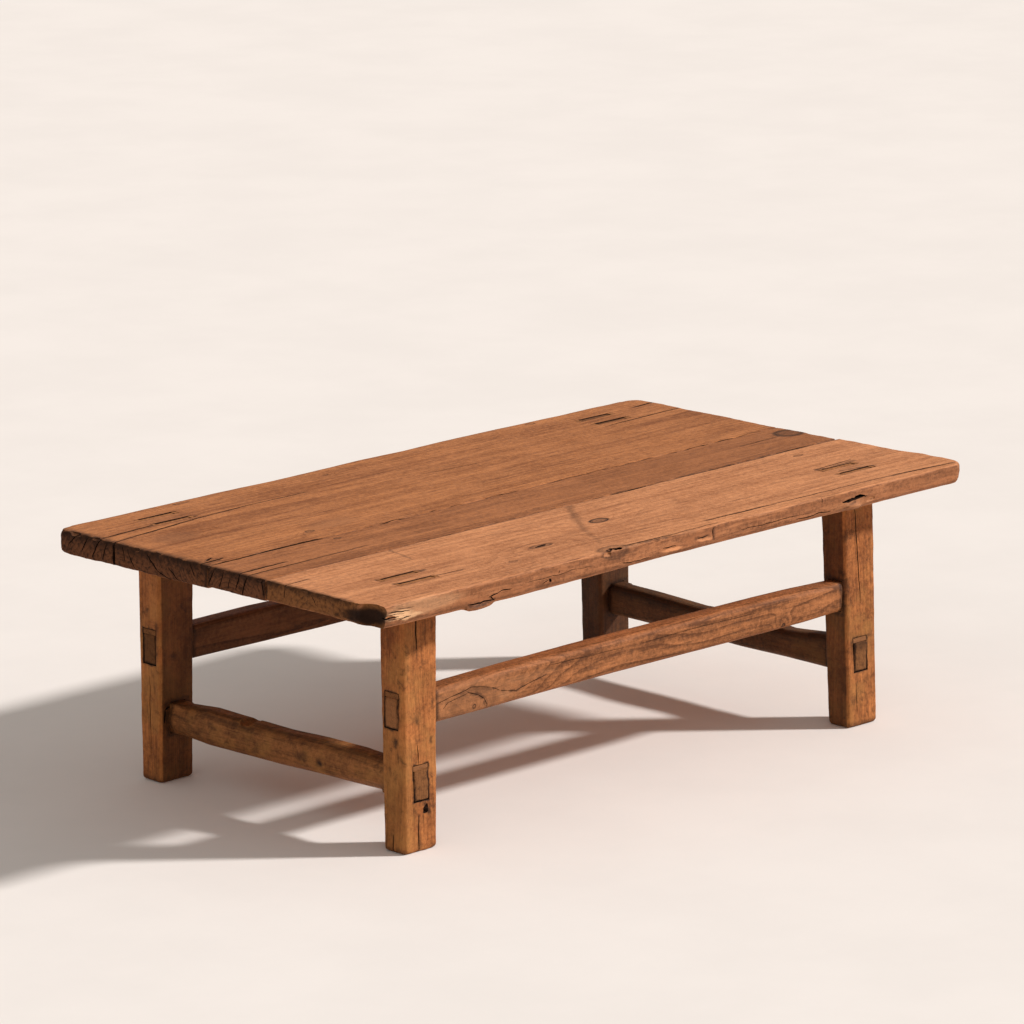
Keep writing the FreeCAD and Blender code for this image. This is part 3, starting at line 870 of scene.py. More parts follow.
def rough_board(node, seams):
    """A board with skewed seams and ends and rounded outer edges, before its skin."""
    low, high = box_of(node)
    top = look().top
    front_left, back_left, front_right, back_right = mm(*BOARD_ENDS[node])
    board = block("top_" + "_".join(reversed(node.split("_"))), low, high)
    corners = ((low.x, low.y), (high.x, low.y), (low.x, high.y), (high.x, high.y))
    ends = (front_left, front_right, back_left, back_right)
    for (x, y), to_x, to_y in zip(corners, ends, seams):
        at_corner = lambda p: abs(p.x - x) < NEAR_CORNER and abs(p.y - y) < NEAR_CORNER
        shift(board, at_corner, (to_x - x, to_y - y, 0))
    outer = {"front_board": low.y, "back_board": high.y}.get(node)
    for side, radius in zip((-1, 1), PLAN_CORNERS.get(node, ())):
        upright = lambda m, run: abs(run.z) > 0.01 and abs(m.y - outer) < 0.001 and m.x * side > 0
        round_off(board, upright, radius, 5)

    def on_rim(middle, run, height):
        if abs(middle.z - height) > LEVEL or abs(run.z) > LEVEL:
            return False
        at_end = abs(run.normalized().y) > CROSSWISE or abs(middle.x) > ENDS_FROM
        return at_end or (outer is not None and abs(middle.y - outer) < NEAR_EDGE)

    def on_front(middle, run):
        foremost = abs(middle.y - low.y) < AT_FRONT and abs(run.normalized().y) < LENGTHWISE
        return foremost and on_rim(middle, run, high.z)

    if node == "front_board":
        round_off(board, on_front, top.front_arris, 5)
    round_off(board, lambda m, run: on_rim(m, run, high.z) and abs(m.x) > WORN_ENDS_FROM, top.arris * 0.6)
    if node == "back_board":
        round_off(board, lambda m, run: on_rim(m, run, high.z) and abs(m.x) <= WORN_ENDS_FROM, top.arris)
    round_off(board, lambda m, run: on_rim(m, run, low.z), top.arris * 0.8)
    return board


# Where the lower front arris hangs most, and how far from there it still hangs.

HANG_AT = (-0.36, -0.34, 0.395)
HANG_REACH = (0.22, 0.06, 0.012)
HANG_DROP = 0.004

# Zones of the boards that are worn apart: where each starts, and how far on it has its full weight.

NOSE_ZONE = (0.628, 0.014)
RIGHT_ZONE = (0.57, 0.05)
LEFT_ZONE = (0.595, 0.015)
EDGE_REACH = 0.05
UNDERSIDE = 0.34


def into(zone, value):
    """How far a value is into a zone, as a share of the way to the full weight."""
    start, reach = zone
    return (value - start) / reach


def hang(point):
    """How far the lower front arris hangs down: most between the left leg and the middle."""
    along = max(0.0, 1.6 - abs(point.x - HANG_AT[0]) / HANG_REACH[0])
    across = max(0.0, 1 - abs(point.y - HANG_AT[1]) / HANG_REACH[1])
    down = max(0.0, min(1.0, (HANG_AT[2] - point.z) / HANG_REACH[2]))
    return along * across * down


def weather_board(board, node, seed):
    """Low waves, dented arrises, rough ends and an outer edge that wanders."""
    top = look().top
    low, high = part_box(node)
    skin(board, top.skin * (0.75 if node == "middle_board" else 1.0))
    relax(board, 2)
    waves(board, clouds("Board waves", 0.055), top.unevenness * 2, (4, 1, 1), (0.3, 0.7, 0))
    if node == "front_board":
        relax(board, 40, gather(board, "Nose", lambda p: into(NOSE_ZONE, p.co.x)))
        edge = gather(board, "Hanging edge", lambda p: hang(p.co))
        waves(board, None, -HANG_DROP, group=edge, middle=0.0, direction="Z")
    if node != "middle_board":
        outer = low[1] if node == "front_board" else high[1]
        edge = gather(board, "Outer edge", lambda p: 1.0 - abs(p.co.y - outer) / EDGE_REACH)
        waves(board, clouds("Edge wander", 0.11), 0.01, offset=(0.21 * seed, 0, 0), group=edge, direction="Y")
    right = gather(board, "Right end", lambda p: into(RIGHT_ZONE, p.co.x))
    waves(board, clouds("End wander", 0.03, 3), 0.013, offset=(0, 0.37 * seed, 0), group=right, direction="X")
    left = gather(board, "Left end", lambda p: into(LEFT_ZONE, -p.co.x))
    waves(board, clouds("Sawn end", 0.012, 3), 0.009, (1, 1, 3), (0, 0.5 * seed, 0), left, direction="X")
    arrises = gather_arrises(board, lambda p: p.z > UNDERSIDE)
    nicks = clouds("Arris nicks", 0.018, 3)
    waves(board, nicks, top.nicks * 2, (2.5, 1.2, 1), (0.1 * seed, 0, 0), arrises, 0.62)
    waves(board, clouds("Fine nicks", 0.006), 0.0014, (3, 1, 1), group=arrises)


# Marks on the boards, in millimetres

TOP_FACE = 400
LEFT_END = -620

# Cracks in the upper face: start, end, share of the full width.

BACK_CRACKS = (
    (-620, 217, -420, 238, 1.0), (-450, 237, -300, 245, 0.7), (-310, 245, -205, 246, 0.45),
    (-620, 246, -505, 253, 1.0), (-512, 252, -430, 250, 1.2), (440, 229, 620, 238, 0.8),
    (562, 293, 620, 298, 1.0), (0, 203, 112, 196, 0.3), (-620, 29, -572, 32, 1.2), (-604, 36, -585, 44, 1.0),
)
MIDDLE_CRACKS = (
    (-624, -54, -525, -51, 1.25), (-624, -72, -480, -67, 0.7), (-490, -67, -372, -63, 0.45),
    (480, -20, 575, -14, 0.4),
)
FRONT_CRACKS = (
    (86, -313, 235, -316, 0.9), (230, -315, 420, -317, 0.6), (400, -316, 520, -318, 0.5),
    (500, -318, 632, -328, 1.0), (-120, -334, -5, -335, 0.8), (-20, -335, 90, -333, 0.45),
    (-437, -262, -372, -265, 0.5), (-622, -150, -570, -148, 0.6), (447, -207, 535, -201, 0.5),
)
BACK_SEAM = (
    (-622, 14.5, -362, 18.5, 1.2), (-390, 18, -90, 22.7, 0.35), (-110, 22.5, 310, 29, 0.22),
    (280, 28.5, 626, 34, 0.3),
)
FRONT_SEAM = (
    (-622, -106.7, -340, -103, 0.4), (-365, -103.5, 20, -98.5, 0.6), (-10, -99, 150, -96.8, 0.7),
    (110, -97.3, 400, -93.6, 0.95), (370, -94, 640, -90.5, 1.0),
)
BOARD_CRACKS = {
    "back_board": BACK_CRACKS + BACK_SEAM,
    "middle_board": MIDDLE_CRACKS + BACK_SEAM + FRONT_SEAM,
    "front_board": FRONT_CRACKS + FRONT_SEAM,
}

# Stains on the upper face: start, end, width, strength.

BACK_STAINS = (
    (-596, 250, -430, 249, 4, 0.6), (-500, 286, -476, 288, 5, 0.6), (440, 252, 458, 250, 9, 0.95),
    (440, 285, 504, 284, 5, 0.35), (456, 252, 504, 251, 6, 0.4),
)
FRONT_STAINS = (
    (-505, -222, -488, -224, 6, 0.85), (-501, -229, -420, -232, 3.5, 0.6), (-436, -225, -415, -227, 6.5, 0.9),
    (-504, -256, -472, -261, 6.5, 0.8), (-490, -268, -440, -270, 3.5, 0.5), (448, -209, 462, -210, 7, 0.85),
    (474, -212, 536, -208, 6, 0.65), (485, -222, 500, -216, 11, 0.8), (466, -242, 500, -246, 6, 0.65),
    (500, -250, 526, -255, 10, 0.8), (14, -98, -23, -144, 11, 0.45), (-23, -144, -57, -190, 12, 0.5),
    (-57, -190, -86, -232, 9, 0.4), (-86, -232, -119, -294, 7, 0.25), (-369, -98, -384, -169, 5, 0.45),
)

# Stains on the left end and the front edge: start, end, width, strength.

BACK_END_STAINS = (((-622, 16, 399), (-627, 332, 399), 21, 0.85), ((-622, 16, 400), (-622, 16, 362), 6, 0.9))
MIDDLE_END_STAINS = (
    ((-620, -104, 399), (-622, 14, 399), 16, 0.85), ((-622, -106, 400), (-622, -106, 366), 6, 0.9),
    ((-623, 13, 400), (-623, 13, 362), 6, 0.9),
)
FRONT_EDGE_STAINS = (
    ((77, -341, 379), (77, -341, 394), 5, 0.7), ((36, -341, 385.5), (66, -341, 385), 5, 0.6),
    ((-112, -337, 399), (-12, -338, 399), 4, 0.7), ((-440, -342, 368), (-384, -342, 370), 6, 0.8),
    ((-600, -340, 371), (640, -340, 371), 6, 0.4), ((390, -342, 382), (366, -342, 374), 4, 0.6),
    ((-618, -280, 399), (-619, -110, 399), 12, 0.75), ((-621, -108, 400), (-621, -108, 366), 6, 0.9),
    ((-620, -262, 386), (-617, -296, 383), 7, 0.85), ((-620, -256, 377), (-618, -290, 376), 6, 0.8),
    ((-619, -270, 381), (-617, -292, 372), 5, 0.8), ((-616, -300, 394), (-610, -326, 391), 6, 0.7),
)

# Knots: centre, size, strength.

BACK_KNOTS = (
    ((-373, 60, 400), (18, 12, 30), 0.8), ((-109, 306, 400), (10, 8, 20), 0.6),
    ((-390, 326, 398), (34, 9, 30), 0.6), ((360, 328, 398), (22, 10, 30), 0.6),
    ((-594, 32, 400), (30, 18, 20), 0.5),
)
MIDDLE_KNOTS = (
    ((-373, 0, 400), (14, 10, 30), 0.8), ((602, -9, 398), (56, 42, 42), 0.85),
    ((-36, -80, 400), (16, 8, 20), 0.5),
)
FRONT_KNOTS = (
    ((-23, -198, 400), (38, 21, 30), 1.0), ((-196, -247, 400), (46, 15, 30), 0.7),
    ((-290, -284, 400), (18, 9, 20), 0.6), ((-134, -334, 398), (60, 30, 30), 0.6),
    ((498, -125, 400), (22, 8, 20), 0.7),
)

# Patches of another colour: centre, size, strength, colour.

BACK_PATCHES = (
    ((-537, 174, 400), (90, 50, 40), 0.35, "smudge"), ((-316, 74, 400), (110, 46, 40), 0.3, "smudge"),
    ((-463, 268, 400), (110, 70, 40), 0.2, "smudge"), ((-624, 15, 382), (20, 10, 70), 0.55, "crack"),
)
MIDDLE_PATCHES = (
    ((430, -32, 400), (620, 170, 60), 0.16, "middle_dark"), ((-624, 13, 382), (20, 10, 70), 0.55, "crack"),
    ((-624, -105, 382), (20, 10, 70), 0.55, "crack"),
)
FRONT_PATCHES = (
    ((-90, -221, 400), (60, 22, 20), 0.45, "front_dark"), ((-578, -343, 383), (60, 20, 13), 0.85, "pale"),
    ((-556, -342, 378), (60, 20, 9), 0.7, "pale"), ((-530, -341, 388), (170, 26, 25), 0.28, "pale"),
    ((387, -342, 376), (80, 20, 22), 0.35, "torn"), ((-412, -342, 372), (110, 20, 16), 0.55, "front_dark"),
    ((-340, -342, 378), (90, 20, 16), 0.4, "front_dark"), ((45, -342, 385), (90, 20, 14), 0.6, "front_dark"),
    ((-22, -342, 384), (50, 20, 9), 0.5, "front_dark"), ((-14, -342, 378.5), (44, 20, 7), 0.8, "front_light"),
    ((57, -342, 381.5), (34, 20, 7), 0.8, "front_light"), ((-608, -317, 382), (54, 62, 29), 0.98, "crack"),
    ((-619, -296, 381), (34, 46, 22), 0.85, "crack"), ((485, -236, 400), (150, 60, 30), 0.3, "front_dark"),
    ((-624, -108, 382), (20, 10, 70), 0.55, "crack"), ((540, -342, 378), (300, 20, 14), 0.5, "front_dark"),
)

# Checks in the left end: start and end across and up, width.

LEFT_CHECKS = {
    "back_board": (
        (314, 378, 290, 400, 2.0), (281, 374, 270, 398, 2.2), (261, 368, 244, 400, 2.6),
        (240, 362, 228, 397, 2.2), (213, 355, 215, 406, 5.0), (196, 398, 188, 372, 1.8),
        (186, 396, 166, 366, 1.8), (144, 396, 116, 373, 2.4), (120, 376, 80, 358, 2.4),
        (97, 384, 62, 355, 2.2), (50, 397, 38, 378, 1.6),
    ),
    "middle_board": (
        (-1, 397, 11, 370, 2.0), (-70, 399, -58, 366, 3.0), (-55, 399, -47, 374, 2.2),
        (-100, 400, -104, 374, 2.6), (-20, 398, -12, 368, 1.6), (-36, 396, -30, 372, 1.4),
    ),
    "front_board": ((-150, 396, -146, 380, 1.4), (-205, 396, -214, 382, 1.4)),
}

# Chips in the upper arris of the left end: place across, width.

LEFT_CHIPS = (
    (300, 26), (252, 16), (168, 22), (118, 14), (72, 24), (34, 20),
    (-22, 16), (-62, 18), (-98, 10), (-168, 18), (-214, 26), (-252, 22),
)

# Cracks in the front edge: start, end, width up and down, depth.

EDGE_CRACKS = (
    ((-397, -342, 376), (-377, -342, 381), 2.2, 7), ((-380, -342, 381), (-350, -341, 381), 1.8, 6),
    ((-394, -342, 378), (-384, -342, 369), 2.0, 7), ((-446, -344, 372), (-384, -344, 371), 2.4, 9),
    ((-626, -342, 383), (-575, -343, 381), 2.2, 12), ((-598, -342, 389), (-554, -342, 387), 1.8, 9),
    ((-578, -343, 376), (-552, -343, 380), 1.5, 7), ((-606, -343, 386), (-562, -343, 384.5), 1.0, 5),
    ((-600, -343, 379.5), (-566, -343, 378), 1.0, 5), ((-588, -343, 392), (-540, -343, 390.5), 0.9, 4),
    ((77, -341, 380), (77.5, -341, 396), 2.2, 5), ((317, -340, 391), (316.5, -338, 399), 1.6, 5),
    ((-288, -342, 374.5), (-270, -342, 379), 1.3, 5), ((-251, -341, 385), (-250, -341, 391), 1.3, 5),
    ((-330, -341, 383), (-180, -341, 384), 1.1, 4), ((120, -341, 381), (300, -341, 382), 1.1, 4),
    ((-137, -342, 375.5), (-60, -342, 375.5), 1.5, 5), ((40, -342, 385.5), (66, -342, 385.5), 1.7, 5),
    ((-33, -342, 383.5), (-5, -342, 382.3), 1.7, 5), ((250, -341, 376), (340, -341, 377), 1.5, 5),
)

# Lumps broken out of the boards: centre, size, turn in degrees, roughness in metres, what the hollow shows.

BREAKS = {
    "back_board": (((626, 31, 395), (16, 12, 40), (0, 0, 0), 0.006, "dirt"),),
    "middle_board": (((632, 20, 398), (14, 20, 16), (0, 0, 0), 0.006, "dirt"),),
    "front_board": (
        ((-621, -327, 386), (44, 62, 66), (0, 0, 4), 0.009, "board"),
        ((402, -345, 388.5), (26, 22, 5), (0, 3, 0), 0.005, "dirt"),
        ((424, -346, 379), (30, 14, 12), (0, -20, 0), 0.008, "torn"),
        ((-135, -338, 401), (34, 14, 7), (0, 0, 3), 0.014, "knot"),
        ((-152, -343, 396), (18, 9, 8), (0, 0, 3), 0.008, "torn"),
        ((-590, -345, 381), (44, 10, 11), (0, 3, 2), 0.007, "torn"),
        ((-270, -341, 378.5), (5, 12, 5), (0, 0, 0), 0.006, "dirt"),
        ((-196, -247, 401), (30, 7, 3.6), (0, 0, 8), 0.004, "dirt"),
    ),
}

# Dirt round the slots: half the depth and the width of a rim in metres, then its strength at each leg.

SLOT_RIM = (0.05, 0.0032)
SLOT_DIRT = {"front_left": 0.42, "front_right": 0.45, "back_left": 0.25, "back_right": 0.25}


def on_top(stains):
    """Stain lines on the upper face of the table."""
    return [((x0, y0, TOP_FACE), (x1, y1, TOP_FACE), *rest) for x0, y0, x1, y1, *rest in stains]


def crack_dirt(cracks, width, strength):
    """Dirt along cracks of the upper face, as stain lines that are broader and stronger on wide cracks."""
    return on_top(
        (*ends, width * (0.5 + 0.5 * share), min(1, strength * (0.4 + 0.6 * share)))
        for *ends, share in cracks
    )


def slot_rims(node):
    """The worn dirty rims of the slots in a board."""
    rims = []
    for leg in BOARD_LEGS[node]:
        for low, high in wedged_slots(leg):
            half = (high - low) / 2
            half.z, width = SLOT_RIM
            rims.append(((low + high) / 2, half, width, SLOT_DIRT[leg]))
    return rims


def back_board_wood():
    """The wide back board."""
    wood = look().wood
    return old_wood(
        "Back board", wood.back_light, wood.back_dark, pith=(0, -190, -290), ring=0.008, checks=0.85,
        end=wood.board_end, knots=BACK_KNOTS, patches=BACK_PATCHES, rims=slot_rims("back_board"),
        lines=(
            *crack_dirt(BACK_CRACKS, 5, 0.7), *crack_dirt(BACK_SEAM, 5, 0.6), *on_top(BACK_STAINS),
            *BACK_END_STAINS,
        ),
    )


def middle_board_wood():
    """The narrow, darker middle board."""
    wood = look().wood
    return old_wood(
        "Middle board", wood.middle_light, wood.middle_dark, pith=(0, 35, -340), ring=0.006, checks=0.85,
        end=wood.board_end, knots=MIDDLE_KNOTS, patches=MIDDLE_PATCHES,
        lines=(
            *crack_dirt(MIDDLE_CRACKS, 5, 0.7), *crack_dirt(BACK_SEAM, 5, 0.6),
            *crack_dirt(FRONT_SEAM, 6, 0.85), *MIDDLE_END_STAINS,
        ),
    )


def front_board_wood():
    """The light front board with its aged front edge."""
    wood = look().wood
    return old_wood(
        "Front board", wood.front_light, wood.front_dark, pith=(0, 230, -320), ring=0.009, checks=0.6,
        front=0.95, end=wood.front_end, knots=FRONT_KNOTS, patches=FRONT_PATCHES,
        rims=slot_rims("front_board"),
        lines=(
            *crack_dirt(FRONT_CRACKS, 5, 0.7), *crack_dirt(FRONT_SEAM, 6, 0.85), *on_top(FRONT_STAINS),
            *FRONT_EDGE_STAINS,
        ),
    )


def lift_splinters(board):
    """Adds what stands out of the front edge: a lifted splinter and a broken lump."""
    splinter = sliver(mm(-444, -338, 368.5), mm(-382, -338, 369), TO_FRONT, 0.0075, depth=0.007, wobble=0.003)
    lump = gouge((387, -338, 375.5), (50, 13, 13), (0, 4, 0), 0.006)
    return weld([board, splinter, lump])


def open_checks(board, node):
    """Opens the drying checks in the left end of a board."""
    carve_row(board, [
        sliver(mm(LEFT_END, y0, z0), mm(LEFT_END, y1, z1), TO_LEFT, width * 0.001, depth=0.016, wobble=0.005)
        for y0, z0, y1, z1, width in LEFT_CHECKS[node]
    ])


def chip_end(board, node):
    """Breaks small chips out of the upper arris of the left end of a board."""
    low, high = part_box(node)
    chips = [
        gouge((LEFT_END - 7, y, TOP_FACE + 1), (15, width * 1.3, 11))
        for y, width in LEFT_CHIPS if low[1] < y * 0.001 < high[1]
    ]
    carve(board, *chips, wall=board.data.materials[0])


def cut_slots(board, node):
    """Opens the slots of the head tenons and their wedges."""
    gap = look().top.slot_gap
    for leg in BOARD_LEGS.get(node, ()):
        for low, high in wedged_slots(leg):
            cutter = block("slot", low - Vector((gap, gap, 0.08)), high + Vector((gap, gap, 0.02)))
            carve(board, cutter, wall=gap_dirt("Slot dirt", 9.0))


def open_cracks(board, node):
    """Opens drying cracks in the upper face of a board."""
    width = look().top.crack
    height = TOP_FACE - 0.5
    carve_row(board, [
        sliver(mm(x0, y0, height), mm(x1, y1, height), UP, width * share, depth=0.012, wobble=0.005)
        for x0, y0, x1, y1, share in BOARD_CRACKS[node]
    ])


def crack_front_edge(board):
    """Opens cracks in the front edge, with a wide torn one over the right leg."""
    carve_row(board, [
        sliver(mm(*start), mm(*end), TO_FRONT, width * 0.001, depth * 0.001, 0.006, 0.003)
        for start, end, width, depth in EDGE_CRACKS
    ])
    start, end = mm(363, -344, 386.5), mm(420, -344, 387.5)
    carve(board, sliver(start, end, TO_FRONT, 0.0048, depth=0.022, wobble=0.007, torn=0.006))


def break_out(board, node):
    """Breaks lumps out of a board, as worms, knocks and splinters have."""
    hollows = {
        "board": board.data.materials[0],
        "dirt": gap_dirt(),
        "knot": gap_dirt("Knot hollow", 20.0),
        "torn": torn_wood(),
    }
    for centre, size, turn, roughness, hollow in BREAKS[node]:
        carve(board, gouge(centre, size, turn, roughness), wall=hollows[hollow])


class PLANK_OT_boards(bpy.types.Operator):
    """Models the three boards of the top, with their seams, slots, cracks and broken edges"""

    bl_idname = "plank_table.boards"
    bl_label = "Boards of the top"

    def execute(self, context):
        boards = (
            ("back_board", "top_wood", back_board_wood()),
            ("middle_board", "dark_top_wood", middle_board_wood()),
            ("front_board", "top_wood", front_board_wood()),
        )
        seams = seams_of_boards()
        for seed, (node, slot, material) in enumerate(boards, 1):
            board = rough_board(node, seams[node])
            if node == "front_board":
                board = lift_splinters(board)
            weather_board(board, node, seed)
            clothe(board, material)
            open_checks(board, node)
            chip_end(board, node)
            cut_slots(board, node)
            open_cracks(board, node)
            if node == "front_board":
                crack_front_edge(board)
            break_out(board, node)
            hand_over(board, node)
        return {"FINISHED"}


# Joints of legs and stretchers

STRETCHER_ENDS = {
    "front_stretcher": ("front_left", "front_right"),
    "back_stretcher": ("back_left", "back_right"),
    "left_stretcher": ("front_left", "back_left"),
    "right_stretcher": ("front_right", "back_right"),
}
LONG_STRETCHERS = ("front_stretcher", "back_stretcher")
END_STRETCHERS = ("left_stretcher", "right_stretcher")
TENON_TIP = 0.006
TENON_ROOT = 0.02
TENON_SINK = 0.0006
SHOULDER_SINK = 0.001
NEAR_LEG = 0.07

# Dirty rims round the tenons at the legs, and painted shade round the bars where they go in: half the depth
# and the width in metres, then the strength.

TENON_RIM = (0.02, 0.0042, 0.95)
BAR_SHADE_RIM = (0.004, 0.007, 0.75)


def run_of(stretcher):
    """The axis that a stretcher runs along: 0 for the long ones, 1 for the end ones."""
    return 0 if stretcher in LONG_STRETCHERS else 1


def at_far_end(stretcher, leg):
    """Whether a leg stands at the high end of a stretcher."""
    return STRETCHER_ENDS[stretcher].index(leg) == 1


def tenon_end(stretcher, leg):
    """Corners of a stretcher's tenon where it comes out of a leg."""
    axis = run_of(stretcher)
    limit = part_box(stretcher)[1 if at_far_end(stretcher, leg) else 0][axis]
    return span(stretcher, lambda p: abs(p[axis] - limit) < TENON_TIP)


def wedge_of(stretcher, leg):
    """Corners of the wedge over a stretcher's tenon."""
    return span("wedge_" + stretcher + "_" + leg)


def mortise(stretcher, leg):
    """Two boxes for the hole of a tenon: one through the leg, and a higher one outside."""
    axis = run_of(stretcher)
    gap = look().frame.mortise_gap
    room = Vector((gap, gap, gap))
    low, high = tenon_end(stretcher, leg)
    through_low, through_high = low - room, high + room
    wedge_low, wedge_high = wedge_of(stretcher, leg)
    outer_low, outer_high = through_low.copy(), through_high.copy()
    outer_low.z = min(outer_low.z, wedge_low.z - gap)
    outer_high.z = max(outer_high.z, wedge_high.z + gap)
    inside, outside = 0.09, 0.02
    if at_far_end(stretcher, leg):
        through_low[axis] -= inside
        through_high[axis] += outside
        outer_low[axis] = wedge_low[axis]
        outer_high[axis] += outside
    else:
        through_low[axis] -= outside
        through_high[axis] += inside
        outer_low[axis] -= outside
        outer_high[axis] = wedge_high[axis]
    return block("mortise", through_low, through_high), block("wedge_room", outer_low, outer_high)


def bar_shade_rim(stretcher, leg):
    """The painted shadow in the corner where a stretcher's bar meets the inner face of a leg."""
    axis = run_of(stretcher)
    low, high = box_of(stretcher)
    inner = 0 if at_far_end(stretcher, leg) else 1
    centre, half = (low + high) / 2, (high - low) / 2
    centre[axis] = leg_section(leg, centre.z)[inner][axis]
    half[axis], width, strength = BAR_SHADE_RIM
    return centre, half, width, strength


def joint_rims_and_shade(stretchers):
    """The dirty rims round the tenons that come out of the legs, and the painted shadow round the bars that
    go in.
    """
    rims = []
    for stretcher in stretchers:
        for leg in STRETCHER_ENDS[stretcher]:
            low, high = tenon_end(stretcher, leg)
            high.z = max(high.z, wedge_of(stretcher, leg)[1].z)
            half = (high - low) / 2
            half[run_of(stretcher)], width, strength = TENON_RIM
            rims.append(((low + high) / 2, half, width, strength))
            rims.append(bar_shade_rim(stretcher, leg))
    return rims


# The legs

# Cracks in the legs, in millimetres: start, end, face, share of the full width.

LEG_CRACKS = {
    "front_left": (
        ((-477, -274, 360), (-476, -276, 300), TO_FRONT, 1.5),
        ((-480, -279, 160), (-480, -280, 130), TO_FRONT, 1.0),
        ((-483, -281, 56), (-483, -283, -4), TO_FRONT, 1.1),
        ((-505, -260, 30), (-508, -260, -4), TO_LEFT, 1.1),
    ),
    "front_right": (
        ((474, -264, 362), (479, -274, 190), TO_FRONT, 1.2),
        ((461, -284, 70), (462, -286, 20), TO_FRONT, 0.7),
    ),
    "back_left": (
        ((-508, 268, 165), (-509, 266, 40), TO_LEFT, 0.8),
        ((-503, 244, 92), (-501, 244, 115), TO_FRONT, 2.0),
        ((-501, 244, 114), (-486, 244, 121), TO_FRONT, 2.2),
        ((-488, 244, 120.5), (-470, 244, 121), TO_FRONT, 1.6),
    ),
    "back_right": (),
}

# Stains on the legs, in millimetres: start, end, width, strength.

LEG_STAINS = (
    ((-506, -261, 170), (-506, -261, 160), 7, 0.9), ((-506, -266, 153), (-506, -266, 138), 5, 0.8),
    ((-506, -258, 118), (-506, -258, 104), 4, 0.6), ((-508, -260, 34), (-508, -260, 4), 5, 0.7),
    ((-483, -282, 54), (-483, -283, 6), 5, 0.6), ((-470, -280, 70), (-463, -281, 58), 7, 0.9),
    ((-452, -279, 165), (-452, -279, 160), 5, 0.7), ((459, -273, 203), (459, -273, 193), 6, 0.6),
    ((452, -268, 310), (450, -268, 295), 7, 0.5), ((476, -276, 142), (505, -276, 138), 5, 0.8),
    ((482, -280, 70), (506, -280, 76), 6, 0.8), ((476, -278, 120), (476, -280, 84), 5, 0.8),
    ((446, -266, 243), (444, -262, 247), 10, 0.7), ((-508, 252, 245), (-508, 254, 180), 6, 0.6),
    ((-508, 262, 170), (-508, 255, 140), 6, 0.5), ((-505, -240, 2), (-450, -283, 2), 9, 0.6),
    ((-509, -280, 3), (-509, -240, 3), 9, 0.6), ((440, -287, 3), (510, -287, 3), 9, 0.6),
    ((-509, 290, 3), (-509, 240, 3), 9, 0.6),
)
# A dark patch over the back right leg is painted shade from under the table; the straw patch low on the front
# left leg's left face is painted bounce light from the floor.
LEG_SHADE_AND_BOUNCE_LIGHT = (
    ((472, 266, 200), (300, 300, 900), 0.5, "crack"), ((-508, -262, 75), (34, 120, 240), 0.3, "straw"),
)


def leg_wood():
    """The blotchy, grimy wood of the legs, with painted shade on the back right leg and painted bounce light
    low on the front left one.
    """
    wood = look().wood
    return old_wood(
        "Leg wood", wood.leg_light, wood.leg_dark, axis="Z", ring=0.007, wander=0.03, rings=0.3, streaks=0.5,
        blotches=0.55, grime=0.72, checks=0.4, end=wood.tenon_top, tint=wood.straw, lines=LEG_STAINS,
        rims=joint_rims_and_shade(STRETCHER_ENDS), patches=LEG_SHADE_AND_BOUNCE_LIGHT,
    )


def leg_post(leg):
    """A leg with its head tenons, before its mortises are cut."""
    sizes = look().frame
    top = shoulder(leg)
    foot_low, foot_high = leg_section(leg, 0.0)
    head_low, head_high = leg_section(leg, top)
    post = block("leg_" + leg + "_post", foot_low, Vector((foot_high.x, foot_high.y, top)))
    upper = lambda p: p.z > top / 2
    foot_size, head_size = foot_high - foot_low, head_high - head_low
    centre = (foot_low + foot_high) / 2
    grow = (head_size.x / foot_size.x, head_size.y / foot_size.y, 1)
    resize(post, upper, grow, (centre.x, centre.y, top))
    lean = (head_low + head_high) / 2 - centre
    shift(post, upper, (lean.x, lean.y, 0))
    round_off(post, lambda m, run: abs(run.normalized().z) > ON_AXIS, sizes.leg_arris, 4)
    round_off(post, lambda m, run: m.z < 0.001, sizes.foot)
    pieces = [post]
    for low, high in tenon_rows(leg):
        root = (low.x, low.y, top - TENON_ROOT)
        pieces.append(block("tenon", root, (high.x, high.y, high.z - TENON_SINK)))
    return weld(pieces)


def weather_leg(post, leg, seed):
    """Low waves and dented arrises below the top."""
    sizes = look().frame
    below = shoulder(leg) - 0.004
    skin(post, sizes.leg_skin)
    relax(post, 3)
    whole = gather(post, "Post", lambda p: 1.0 if p.co.z < below else 0.0)
    waves(post, clouds("Leg waves", 0.03), sizes.unevenness * 2, (1, 1, 3), (0.2 * seed, 0, 0), whole)
    arrises = gather_arrises(post, lambda p: p.z < below)
    waves(post, clouds("Leg nicks", 0.011, 3), sizes.nicks * 2, (1, 1, 2.5), (0, 0.3 * seed, 0), arrises, 0.6)


class PLANK_OT_legs(bpy.types.Operator):
    """Models the four legs, with their head tenons and the mortises of the stretchers"""

    bl_idname = "plank_table.legs"
    bl_label = "Legs"

    def execute(self, context):
        width = look().frame.crack
        material = leg_wood()
        for seed, leg in enumerate(LEGS):
            post = leg_post(leg)
            weather_leg(post, leg, seed)
            clothe(post, material)
            for stretcher, legs in STRETCHER_ENDS.items():
                if leg in legs:
                    for hole in mortise(stretcher, leg):
                        carve(post, hole)
            if leg == "front_left":
                chip = gouge((-468, -288, 63), (14, 20, 17), (0, 30, 0), 0.01)
                carve(post, chip, wall=gap_dirt("Chipped hollow", 14.0))
            carve_row(post, [
                sliver(mm(*start), mm(*end), face, width * share, depth=0.012, wobble=0.004)
                for start, end, face, share in LEG_CRACKS[leg]
            ])
            hand_over(post, "leg_" + leg)
        return {"FINISHED"}


# The stretchers

# Shape along each stretcher in millimetres: lift of the lower and the upper edge, share of the depth.

